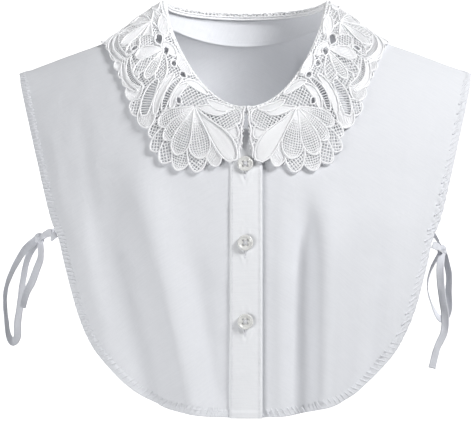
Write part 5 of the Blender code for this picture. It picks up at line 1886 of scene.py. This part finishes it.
    def lifted(self, points: np.ndarray, height: np.ndarray | float) -> np.ndarray:
        """Places flat points in mm on the collar, at a height over its underside."""
        along, out = self.unflat(np.asarray(points, float) * MM)
        i = np.interp(along, self.along, np.arange(self.stations))
        width = np.interp(along, self.along, self.widths)
        j = np.clip(out / width, 0, 1) * (self.steps - 1)
        i0 = np.minimum(i.astype(int), self.stations - 2)
        j0 = np.minimum(j.astype(int), self.steps - 2)
        s, t = (i - i0)[:, None], (j - j0)[:, None]
        placed, normals = (
            (table[i0, j0] * (1 - s) + table[i0 + 1, j0] * s) * (1 - t)
            + (table[i0, j0 + 1] * (1 - s) + table[i0 + 1, j0 + 1] * s) * t
            for table in (self.table, self.normals)
        )
        normals = normals / np.linalg.norm(normals, axis=1, keepdims=True)
        return placed + normals * np.broadcast_to(height, len(points))[:, None]


def inside(points: np.ndarray, polygon: np.ndarray) -> np.ndarray:
    """Which of the points lie inside a closed polygon."""
    found = np.zeros(len(points), bool)
    low, high = polygon.min(axis=0), polygon.max(axis=0)
    close = np.all((points > low) & (points < high), axis=1)
    if not close.any():
        return found
    x, y = points[close, 0][:, None], points[close, 1][:, None]
    x0, y0 = polygon[:, 0][None], polygon[:, 1][None]
    x1, y1 = np.roll(polygon[:, 0], -1)[None], np.roll(polygon[:, 1], -1)[None]
    crosses = (y0 > y) != (y1 > y)
    slope = (x1 - x0) / np.where(y1 == y0, 1e-12, y1 - y0)
    found[close] = (crosses & (x < x0 + slope * (y - y0))).sum(axis=1) % 2 == 1
    return found


class Motif:
    """A part of the lace with a rim: its points come from a share along it and one across it."""

    fill: Fill
    start: float = 0.03

    def at(self, along: np.ndarray, across: np.ndarray) -> np.ndarray:
        """Flat points in mm at shares along, 0 to 1, and across, -1 to 1."""
        raise NotImplementedError

    def outline(self, count: int = 34) -> np.ndarray:
        """The closed outline, close-set at its ends."""
        way = 0.5 - 0.5 * np.cos(np.linspace(0, math.pi, count))
        shares = self.start + (1 - self.start) * way
        return np.vstack([self.at(shares, 1.0), self.at(shares[::-1][1:-1], -1.0)])


@dataclass(frozen=True)
class Petal(Motif):
    """A petal, leaf, lobe or eyelet: foot and size in mm, heading and bend in degrees."""

    x: float
    y: float
    heading: float
    length: float
    width: float
    fill: Fill
    rise: float = 0.0
    fullest: float = 1.5
    blunt: float = 0.58
    bend: float = 0.0

    def at(self, along: np.ndarray, across: np.ndarray) -> np.ndarray:
        """Flat points in mm at shares along the petal and across it."""
        along, across = np.broadcast_arrays(np.asarray(along, float), np.asarray(across, float))
        turn = np.radians(self.heading + self.bend * along)
        swell = np.sin(np.pi * np.clip(along, 0, 1) ** self.fullest).clip(0, 1) ** self.blunt
        side = self.width / 2 * swell * across
        ahead = self.length * along
        x = self.x + ahead * np.cos(turn) - side * np.sin(turn)
        y = self.y + ahead * np.sin(turn) + side * np.cos(turn)
        return np.stack([x, y], axis=-1)


@dataclass(frozen=True)
class Crescent(Motif):
    """A band around a hub: radii in mm, and the flat angles between which it runs."""

    x: float
    y: float
    inner: float
    outer: float
    first: float
    last: float
    fill: Fill
    rise: float = 0.0
    blunt: float = 0.4

    def at(self, along: np.ndarray, across: np.ndarray) -> np.ndarray:
        """Flat points in mm at shares along the band and across it."""
        along, across = np.broadcast_arrays(np.asarray(along, float), np.asarray(across, float))
        turn = np.radians(self.first + (self.last - self.first) * along)
        swell = np.sin(np.pi * np.clip(along, 0, 1)).clip(0, 1) ** self.blunt
        radius = (self.inner + self.outer) / 2 + (self.outer - self.inner) / 2 * swell * across
        return np.stack([self.x + radius * np.cos(turn), self.y + radius * np.sin(turn)], axis=-1)

    @property
    def length(self) -> float:
        """Length of the band's middle line, in mm."""
        return (self.inner + self.outer) / 2 * math.radians(abs(self.last - self.first))

    @property
    def width(self) -> float:
        """The band's greatest width, in mm."""
        return self.outer - self.inner

    @property
    def heading(self) -> float:
        """The way the band's middle looks, in degrees."""
        return (self.first + self.last) / 2


# The front spray round its hub: length in mm, flat heading, width, fill and rise over the others
FRONT_HUB = (44.0, -10.0)
FRONT_SPRAY = (
    (38, -70, 14.5, Fill.ROWS, 0.35),
    (40, -101, 17.0, Fill.ROWS, 0.35),
    (34, -46, 12.0, Fill.ROWS, 0.35),
    (33, -22, 12.5, Fill.ROWS, 0.35),
    (27, -172, 9.0, Fill.SATIN, 0.30),
    (59, -131, 15.0, Fill.SATIN, 0.15),
    (42.5, -161, 20.0, Fill.NET, 0.0),
    (52.6, -116, 14.5, Fill.RIBS, 0.05),
    (50, -96, 15.5, Fill.NET, 0.0),
    (49, -77, 15.5, Fill.ROWS, 0.0),
    (48.5, -60, 15.5, Fill.NET, 0.0),
    (47, -44, 15.0, Fill.NET, 0.0),
    (43, -29, 14.5, Fill.NET, 0.0),
    (47.5, -146, 13.0, Fill.SATIN, 0.0),
)
# Bands on the shoulder side of the front hub: radii, first and last heading, fill
FRONT_BANDS = (
    (17.0, 23.5, -6, 62, Fill.SATIN),
    (24.2, 31.0, -8, 56, Fill.LADDER),
    (31.6, 38.5, -10, 48, Fill.SATIN),
    (39.4, 50.0, -8, 32, Fill.LADDER),
)


@dataclass(frozen=True)
class Eyelet:
    """An open eyelet: its middle along and out, its length and width in mm, its turn in degrees."""

    along: float
    out: float
    length: float
    width: float
    turn: float


EYELETS = (
    Eyelet(44, 32, 7.5, 4.8, 100),
    Eyelet(56, 16.5, 8.5, 5.2, 86),
    Eyelet(69, 17, 8.5, 5.0, 102),
    Eyelet(83, 17, 9.5, 5.4, 101),
    Eyelet(97, 18, 12.0, 7.0, 95),
    Eyelet(106, 38, 8.5, 5.0, 30),
    Eyelet(137, 31, 8.0, 5.2, 0),
    Eyelet(162, 40, 8.5, 5.0, 0),
    Eyelet(175, 31, 8.0, 5.2, 0),
    Eyelet(212, 31, 8.0, 5.2, 0),
)


@dataclass(frozen=True)
class Spray:
    """A fan of petals: its hub along and out in mm, its petals, their spread, length and width."""

    along: float
    out: float
    petals: int
    first: float
    last: float
    length: float
    width: float
    rise: float = 0.2


SPRAYS = (
    Spray(86, 17, 5, -58, 62, 27, 10.5),
    Spray(118, 18, 7, -92, 92, 29, 11.5),
    Spray(156, 17, 7, -96, 96, 28, 11.0),
    Spray(194, 18, 7, -92, 92, 29, 11.5),
    Spray(226, 17, 5, -100, 10, 27, 11.0),
)


@dataclass
class LaceHalf:
    """One half of the lace collar: rims, nets, ribs and satin parts on one form."""

    palette: Palette
    side: Side
    centre_gap: float = 0.8
    back_gap: float = 0.3
    net_step: float = 2.35
    ground_step: float = 2.5
    rib_step: float = 1.3
    row_step: float = 2.1
    rung_step: float = 2.0
    rim_height: float = 1.25 * MM
    net_height: float = 0.75 * MM
    patch_height: float = 0.35 * MM
    dome: float = 0.65 * MM
    rim_radius: float = 0.62 * MM
    lobe_pitch: float = 15.0
    lobe_length: float = 15.0
    roll_out: float = 7.4
    band_out: float = 2.6
    widest: float = 75 * MM
    worked_area: float = 0.0060

    def __post_init__(self) -> None:
        """Lays out the motifs in the order in which they cover each other."""
        self.form = CollarForm(self.side)
        self.total = self.form.length / MM
        self.motifs = self.eyelets() + self.leaves() + self.front() + self.sprays() + self.lobes()
        self.outlines = [motif.outline() for motif in self.motifs]

    def eyelets(self) -> list[Motif]:
        """The open eyelets, in rings of satin."""
        made = []
        for row in EYELETS:
            x, y, heading = self.form.turned(row.along, row.out, row.turn)
            back = row.length / 2
            x -= back * math.cos(math.radians(heading))
            y -= back * math.sin(math.radians(heading))
            made.append(
                Petal(
                    x, y, heading, row.length, row.width, Fill.OPEN, rise=0.3, fullest=1.2, blunt=0.75
                )
            )
        return made

    def leaves(self) -> list[Motif]:
        """Leaves and buds along the fold."""
        made = []
        for along, out, turn, length, width, bend in (
            (7, 13, 78, 25, 7.5, 14),
            (30, 12, 96, 24, 7.0, -16),
            (52, 11, 84, 24, 8.0, 14),
            (74, 12, 88, 22, 7.5, -12),
            (96, 11, 86, 24, 8.0, 12),
            (128, 11, 84, 26, 8.0, 12),
            (168, 11, 84, 26, 8.0, 12),
            (204, 11, 84, 24, 8.0, 12),
        ):
            x, y, heading = self.form.turned(along, out, turn)
            fill = Fill.SATIN if along % 4 else Fill.RIBS
            made.append(Petal(x, y, heading, length, width, fill, rise=0.3, fullest=1.0, bend=bend))
        return made

    def front(self) -> list[Motif]:
        """The large front spray, the bands beside it and the small ribbed lobe."""
        x, y = FRONT_HUB
        made = [
            Petal(x, y, heading, length, width, fill, rise, fullest=2.1, blunt=0.52)
            for length, heading, width, fill, rise in FRONT_SPRAY
        ]
        made += [
            Crescent(x, y, inner, outer, first, last, fill, 0.1)
            for inner, outer, first, last, fill in FRONT_BANDS
        ]
        made.append(Petal(91.5, -3.0, -112, 24, 15.5, Fill.RIBS, 0.15, fullest=1.3))
        return made

    def sprays(self) -> list[Motif]:
        """The smaller fans round the shoulder and the back."""
        made = []
        for spray in SPRAYS:
            count = spray.petals
            for order in (1, 0):
                for k, turn in enumerate(np.linspace(spray.first, spray.last, count)):
                    if k % 2 != order:
                        continue
                    x, y, heading = self.form.turned(spray.along, spray.out, turn)
                    length = spray.length * (1.0 if order else 1.12)
                    fill = (Fill.ROWS if k % 4 == 1 else Fill.RIBS) if order else Fill.NET
                    rise = spray.rise if order else 0.0
                    made.append(Petal(x, y, heading, length, spray.width, fill, rise, fullest=1.9))
            band = self.form.turned(spray.along, spray.out, 0)
            for inner, outer, fill in ((30.5, 35.5, Fill.LADDER), (36.0, 40.0, Fill.SATIN)):
                first, last = band[2] + spray.first * 0.5, band[2] + spray.last * 0.5
                made.append(Crescent(band[0], band[1], inner, outer, first, last, fill))
        return made

    def lobes(self) -> list[Motif]:
        """The scallops along the outer edge, past the front spray."""
        made = []
        start = 58.0
        count = round((self.total - start) / self.lobe_pitch * 1.55)
        for k in range(count):
            along = start + (self.total - self.back_gap - start) * (k + 0.5) / count
            width = float(np.interp(along * MM, self.form.along, self.form.widths)) / MM
            x, y, heading = self.form.turned(along, width - self.lobe_length - 0.6, 0)
            spread = self.form.flat(np.array([along - 1, along + 1]) * MM, np.full(2, width * MM))
            size = np.linalg.norm(spread[1] - spread[0]) / (2 * MM)
            pitch = (self.total - start) / count * size
            fill = Fill.RIBS if k % 3 == 1 else Fill.NET
            made.append(
                Petal(x, y, heading, self.lobe_length, pitch * 1.12, fill, fullest=1.5, blunt=0.5)
            )
        return made

    def within(self, points: np.ndarray, margin: float) -> np.ndarray:
        """Which flat points lie on the cut of the lace, this far inside its outer edge."""
        along, out = self.form.unflat(points * MM)
        width = np.interp(along, self.form.along, self.form.widths)
        tangent = np.stack(
            [np.interp(along, self.form.along, np.cos(self.form.heading)),
             np.interp(along, self.form.along, np.sin(self.form.heading))], axis=1
        )
        base = self.form.flat(along, out)
        off = np.abs(((points * MM - base) * tangent).sum(axis=1))
        first, last = self.centre_gap / 2 * MM, self.form.length - self.back_gap / 2 * MM
        ends = (along > first) & (along < last) & (off < 0.4 * MM)
        return ends & (out > 0) & (out < width - margin * MM)

    def free(self, points: np.ndarray, before: int) -> np.ndarray:
        """Which flat points no earlier motif covers."""
        found = np.ones(len(points), bool)
        for outline in self.outlines[:before]:
            found &= ~inside(points, outline)
        return found

    @staticmethod
    def runs(line: np.ndarray, keep: np.ndarray) -> list[np.ndarray]:
        """The kept stretches of a line, each one point longer so that its ends tuck in."""
        if keep.all():
            return [line]
        wide = keep.copy()
        wide[:-1] |= keep[1:]
        wide[1:] |= keep[:-1]
        marks = np.flatnonzero(np.diff(np.concatenate([[0], wide.astype(int), [0]])))
        pairs = zip(marks[::2], marks[1::2])
        return [line[a:b] for a, b in pairs if b - a > 2 or (b - a == 2 and keep[a:b].any())]

    def net(self, low: np.ndarray, high: np.ndarray, heading: float, step: float) -> list[np.ndarray]:
        """Crossing lines of a diamond net over a rectangle of the flat pattern."""
        middle, reach = (low + high) / 2, np.linalg.norm(high - low) / 2 + step
        marks = np.arange(-reach, reach, 1.1)
        lines = []
        for turn in (45, -45):
            angle = math.radians(heading + turn)
            way = np.array([math.cos(angle), math.sin(angle)])
            cross = np.array([-way[1], way[0]])
            for shift in np.arange(-reach, reach, step):
                wander = 0.10 * np.sin(marks * 1.7 + shift * 2.3)
                lines.append(middle + cross * (shift + wander)[:, None] + way * marks[:, None])
        return lines

    def clipped(self, lines: list[np.ndarray], test: Callable[[np.ndarray], np.ndarray]) -> list[np.ndarray]:
        """The stretches of all the lines where the test holds, tested in one call."""
        if not lines:
            return []
        keep = test(np.vstack(lines))
        made, start = [], 0
        for line in lines:
            made += self.runs(line, keep[start : start + len(line)])
            start += len(line)
        return made

    def threads(self, number: int) -> tuple[list[np.ndarray], list[np.ndarray], list[np.ndarray]]:
        """Rims, nets and ribs of one motif as flat lines."""
        motif, outline = self.motifs[number], self.outlines[number]
        closed = np.vstack([outline, outline[:2]])

        def clear(points: np.ndarray) -> np.ndarray:
            return self.free(points, number) & self.within(points, 0.3)

        rims = self.clipped([closed], clear)
        nets, ribs = [], []
        if motif.fill is Fill.NET:
            lines = self.net(outline.min(axis=0), outline.max(axis=0), motif.heading, self.net_step)
            nets = self.clipped(lines, lambda p: inside(p, outline) & clear(p))
        elif motif.fill is Fill.ROWS:
            count = max(round(motif.width / self.row_step), 3)
            shares = np.linspace(0.08, 0.985, max(int(motif.length / 1.1), 8))
            lines = [motif.at(shares, s) for s in np.linspace(-1, 1, count + 1)[1:-1]]
            stops = np.linspace(0.2, 0.95, max(round(motif.length / 2.3), 4))
            across = np.linspace(-1, 1, 12)
            bars = [motif.at(t + 0.02 * (1 - across**2), across) for t in stops]
            nets = self.clipped(lines + bars, clear)
        elif motif.fill is Fill.RIBS:
            count = max(int(motif.width / self.rib_step), 3)
            shares = np.linspace(0.10, 0.985, max(int(motif.length / 1.1), 8))
            lines = [motif.at(shares, s) for s in np.linspace(-1, 1, count + 1)[1:-1]]
            ribs = self.clipped(lines, clear)
        elif motif.fill is Fill.LADDER:
            count = max(int(motif.length / self.rung_step), 3)
            shares = np.linspace(-1, 1, 7)
            lines = [motif.at(t, shares) for t in np.linspace(0.06, 0.94, count)]
            ribs = self.clipped(lines, clear)
        return rims, nets, ribs

    def patch(self, number: int) -> tuple[np.ndarray, list, np.ndarray] | None:
        """The domed body of a ribbed or satin motif: flat points with heights, faces and UV."""
        motif = self.motifs[number]
        if motif.fill not in (Fill.RIBS, Fill.SATIN):
            return None
        rows, columns = max(int(motif.length / 1.3), 8), 11
        t = np.linspace(motif.start, 1.0, rows)[:, None]
        s = np.linspace(-1, 1, columns)[None]
        flat = motif.at(np.broadcast_to(t, (rows, columns)), np.broadcast_to(s, (rows, columns)))
        crown = np.sqrt(np.clip(1 - s**2, 0, 1)) * np.sin(np.pi * t.clip(0, 1)) ** 0.3
        level = 1.0 if motif.fill is Fill.SATIN else 0.55
        height = self.patch_height + self.dome * level * np.broadcast_to(crown, (rows, columns))
        height = height + motif.rise * MM
        if motif.fill is Fill.SATIN:
            vein = 0.32 * MM * np.exp(-((s / 0.14) ** 2))
            height = height - vein
        quads = grid_quads(rows, columns)
        middles = flat.reshape(-1, 2)[quads].mean(axis=1)
        keep = self.free(middles, number) & self.within(middles, 0.2)
        u = np.broadcast_to(s * motif.width / 2 * MM, (rows, columns))
        v = np.broadcast_to(t * motif.length * MM, (rows, columns))
        slant = v + np.abs(u) * 0.6 if motif.fill is Fill.SATIN else v
        uv = np.stack([u.ravel(), slant.ravel()], axis=1)
        return np.column_stack([flat.reshape(-1, 2), height.ravel()]), quads[keep].tolist(), uv

    def patches(self, fill: Fill, name: str, material: bpy.types.Material) -> bpy.types.Object:
        """All bodies of one kind as one closed mesh."""
        tops, lows, faces, uvs = [], [], [], []
        start = 0
        for number, motif in enumerate(self.motifs):
            made = self.patch(number) if motif.fill is fill else None
            if made is None or not made[1]:
                continue
            flat, quads, uv = made
            used = np.unique(np.array(quads))
            order = np.full(len(flat), -1)
            order[used] = np.arange(len(used))
            quads = order[np.array(quads)]
            flat, uv = flat[used], uv[used]
            tops.append(self.form.lifted(flat[:, :2], flat[:, 2]))
            lows.append(self.form.lifted(flat[:, :2], np.minimum(flat[:, 2] - 0.25 * MM, 0.25 * MM)))
            first, second, third = (tops[-1][quads[0, k]] for k in range(3))
            if np.cross(second - first, third - first) @ (first - lows[-1][quads[0, 0]]) < 0:
                quads = quads[:, ::-1]
            faces.append(quads + start)
            uvs.append(uv)
            start += len(flat)
        return thick_mesh(
            name, np.vstack(tops), np.vstack(lows), np.vstack(faces), np.vstack(uvs), material
        )

    def ground(self) -> list[np.ndarray]:
        """The net between the motifs, as flat lines."""
        edge = self.form.flat(self.form.along, self.form.widths) / MM
        corners = np.vstack([self.form.base / MM, edge])
        lines = self.net(corners.min(axis=0), corners.max(axis=0), 12.0, self.ground_step)
        count = len(self.outlines)
        first = self.lobe_length * 0.55

        def wanted(points: np.ndarray) -> np.ndarray:
            along, out = self.form.unflat(points * MM)
            keep = self.within(points, first) & (out > self.band_out * MM)
            found = keep.copy()
            found[keep] = self.free(points[keep], count)
            return found

        return self.clipped(lines, wanted)

    def border(self) -> list[np.ndarray]:
        """Rims down the centre front, and along the outer edge where it cuts a motif, as flat lines."""
        first = (self.centre_gap / 2 + 0.55) * MM
        width = float(np.interp(first, self.form.along, self.form.widths))
        outs = np.arange(self.band_out * MM, width - 0.8 * MM, 1.0 * MM)
        end = self.form.flat(first + 0.25 * MM * np.sin(outs / (2.2 * MM)), outs) / MM
        marks = np.arange(first, self.form.length - self.back_gap * MM, 0.8 * MM)
        widths = np.interp(marks, self.form.along, self.form.widths)
        edge = self.form.flat(marks, widths - 0.32 * MM) / MM
        cut = self.clipped([edge], lambda points: ~self.free(points, len(self.outlines)))
        return [end, *cut]

    def roll(self) -> tuple[bpy.types.Object, list[np.ndarray]]:
        """The worked band over the fold, and the cords along it."""
        first, last = self.centre_gap / 2, self.total - self.back_gap / 2
        along = np.linspace(first, last, 420)
        outs = np.linspace(0.3, self.band_out, 9)
        a, o = np.meshgrid(along, outs, indexing="ij")
        scallop = 0.7 * np.abs(np.sin(a / 3.6 * math.pi / 2)) * (o > self.band_out - 0.5)
        flat = self.form.flat(a.ravel() * MM, (o - scallop).ravel() * MM) / MM
        height = 0.45 * MM + 0.22 * MM * np.sin(a * 2.1 + 0.8 * o).ravel() * np.sin(o.ravel() * 1.2)
        top = self.form.lifted(flat, height + 0.35 * MM).reshape(*a.shape, 3)
        low = self.form.lifted(flat, 0.15 * MM).reshape(*a.shape, 3)
        ways = top - low
        thick = np.linalg.norm(ways, axis=2)
        band = shell(
            f"lace_roll_{self.side.name.lower()}",
            low,
            ways / thick[..., None],
            0.0,
            thick,
            self.palette.lace,
        )
        cords = []
        for out in (0.7, self.band_out, 5.4, self.roll_out):
            marks = np.linspace(first, last, 500)
            wave = 0.4 * np.sin(marks * 1.745) * (out > 5)
            cords.append(self.form.flat(marks * MM, (out + wave) * MM) / MM)
        return band, cords

    def loops(self) -> list[np.ndarray]:
        """Small loops of thread at the centre end and along the fold at the back."""
        made = []
        stops = list(np.linspace(150, self.total - 2, 30)) + [0.6, 1.5, 3.0]
        for k, along in enumerate(stops):
            size = 1.6 + 0.5 * math.sin(2.3 * k)
            angles = np.linspace(0, 2 * math.pi, 15)
            place = self.form.flat(
                (along + size * np.sin(angles)) * MM, (5.0 + size * 0.6 * np.cos(angles)) * MM
            )
            made.append(np.column_stack([place / MM, 0.9 + 0.9 * (1 + np.cos(angles + 0.6 * k)) / 2]))
        return made

    def build(self) -> bpy.types.Object:
        rims, nets, ribs = [], [], []
        for number, motif in enumerate(self.motifs):
            edge, net, rib = self.threads(number)
            rise = motif.rise * MM
            rims += [self.form.lifted(line, self.rim_height + rise) for line in edge]
            nets += [self.form.lifted(line, self.net_height + rise) for line in net]
            dome = self.patch_height + self.dome * 0.5 + 0.15 * MM
            for line in rib:
                height = dome if motif.fill is Fill.RIBS else self.net_height
                ribs.append(self.form.lifted(line, height + rise))
        nets += [self.form.lifted(line, self.net_height - 0.1 * MM) for line in self.ground()]
        band, cords = self.roll()
        rims += [self.form.lifted(line, 1.0 * MM) for line in cords]
        rims += [self.form.lifted(line, self.rim_height) for line in self.border()]
        name = self.side.name.lower()
        loops = [self.form.lifted(line[:, :2], line[:, 2] * MM) for line in self.loops()]
        lace = self.palette.lace
        node = "lace_collar_left" if self.side is Side.LEFT else "lace_collar_right"
        pieces = {
            "rims": along_lines(
                f"lace_rims_{name}", rims, TUBES, lace, Radius=self.rim_radius, Sides=6, Unevenness=0.6
            ),
            "ribs": along_lines(
                f"lace_ribs_{name}", ribs, TUBES, lace, Radius=0.40 * MM, Sides=5, Unevenness=0.6
            ),
            "loops": along_lines(f"lace_loops_{name}", loops, TUBES, lace, Radius=0.25 * MM, Sides=5),
        }
        worked = joined(
            f"lace_worked_{name}",
            [
                band,
                self.patches(Fill.RIBS, f"lace_ribbed_{name}", lace),
                self.patches(Fill.SATIN, f"lace_satin_{name}", self.palette.satin),
            ],
        )
        net = along_lines(
            f"lace_net_{name}", nets, TUBES, lace, Radius=0.46 * MM, Sides=4, Unevenness=0.7
        )
        dress(worked, "lace", node)
        for piece in (net, *pieces.values()):
            dress(piece, "lace")
        log.info("%s: %d threads in its nets", node, len(nets))
        return self.declare(worked, [net, *pieces.values()])

    def declare(self, worked: bpy.types.Object, pieces: list[bpy.types.Object]) -> bpy.types.Object:
        """Returns the close-worked lace."""
        return worked


# Studio


@dataclass(frozen=True)
class Studio:
    """Camera, soft lights and a plain pale floor that curves up behind."""

    view_x: float = -7.4 * MM
    view_z: float = -146.25 * MM
    distance: float = 1.5
    pixel: float = 0.78 * MM
    photo_width: int = 472
    sensor: float = 36.0
    floor_z: float = -1.3
    wall_glow: float = 1.0
    world_strength: float = 0.13

    def camera(self) -> bpy.types.Object:
        """The camera at the photo's angle and frame."""
        data = bpy.data.cameras.new("camera")
        data.sensor_width = self.sensor
        data.lens = self.sensor * self.distance / (self.pixel * self.photo_width)
        data.clip_start, data.clip_end = 0.05, 30
        made = bpy.data.objects.new("camera", data)
        made.location = (self.view_x, -self.distance, self.view_z)
        made.rotation_euler = (math.pi / 2, 0, 0)
        bpy.context.scene.collection.objects.link(made)
        bpy.context.scene.camera = made
        return made

    def light(self, name: str, place: tuple, target: tuple, size: float, power: float) -> None:
        """One soft square light that looks at a point."""
        data = bpy.data.lights.new(name, "AREA")
        data.size, data.energy = size, power
        made = bpy.data.objects.new(name, data)
        made.location = place
        made.rotation_euler = (Vector(target) - Vector(place)).to_track_quat("-Z", "Y").to_euler()
        bpy.context.scene.collection.objects.link(made)

    def neck_light(self, place: tuple, target: tuple, cone: float, power: float) -> None:
        """A narrow soft light that looks into the open neck; its cone is in degrees."""
        data = bpy.data.lights.new("neck light", "SPOT")
        data.spot_size, data.spot_blend = math.radians(cone), 1.0
        data.shadow_soft_size, data.energy = 0.06, power
        made = bpy.data.objects.new("neck light", data)
        made.location = place
        made.rotation_euler = (Vector(target) - Vector(place)).to_track_quat("-Z", "Y").to_euler()
        bpy.context.scene.collection.objects.link(made)

    def floor(self) -> None:
        """The pale floor, with a soft curve up to a plain wall."""
        shares = np.linspace(0, math.pi / 2, 24)
        profile = [(-6.0, 0.0), (2.6, 0.0)]
        profile += [(2.6 + 1.2 * math.sin(t), 1.2 - 1.2 * math.cos(t)) for t in shares[1:]]
        profile += [(3.8, 6.0)]
        points = [(x, y, self.floor_z + z) for y, z in profile for x in (-7.0, 7.0)]
        faces = [(2 * k, 2 * k + 1, 2 * k + 3, 2 * k + 2) for k in range(len(profile) - 1)]
        material, w, shader = shader_of("studio white")
        shader.inputs["Base Color"].default_value = (0.80, 0.80, 0.80, 1)
        shader.inputs["Roughness"].default_value = 0.9
        place = w.add("ShaderNodeTexCoord")
        parts = w.add("ShaderNodeSeparateXYZ", {"Vector": place.outputs["Object"]})
        glow = w.add(
            "ShaderNodeMapRange",
            {"Value": parts.outputs["Y"], "From Min": 2.0, "From Max": 3.0, "To Max": self.wall_glow},
        )
        shader.inputs["Emission Color"].default_value = (1, 1, 1, 1)
        w.fill(shader, {"Emission Strength": glow.outputs["Result"]})
        made = add_mesh("studio_floor", np.array(points), faces, material)

    def build(self) -> None:
        """Sets the studio up."""
        scene = bpy.context.scene
        scene.view_settings.view_transform = "Standard"
        world = bpy.data.worlds.new("soft light")
        world.use_nodes = True
        background = world.node_tree.nodes["Background"]
        background.inputs["Color"].default_value = (0.95, 0.97, 1.0, 1)
        background.inputs["Strength"].default_value = self.world_strength
        scene.world = world
        self.camera()
        self.floor()
        self.light("key", (1.4, -0.85, 1.15), target=(0.0, 0.0, -0.12), size=0.6, power=41)
        self.light("low fill", (-1.1, -1.15, -0.45), target=(0.0, 0.0, -0.18), size=0.8, power=14)
        self.neck_light((0.25, -1.0, 0.42), target=(-0.038, 0.05, -0.04), cone=6.0, power=54)


def main() -> None:
    """Builds the studio and every piece of the garment in order."""
    logging.basicConfig(level=logging.INFO, format="%(name)s %(message)s")
    Studio().build()
    palette = Palette()
    for side in ("left", "right"):
        SideTies(palette, side).build()
    CottonPanels(palette).build()
    Placket(palette).build()
    NeckStand(palette).build()
    Buttons(palette).build()
    for side in Side:
        LaceHalf(palette, side).build()


if __name__ == "__main__":
    main()
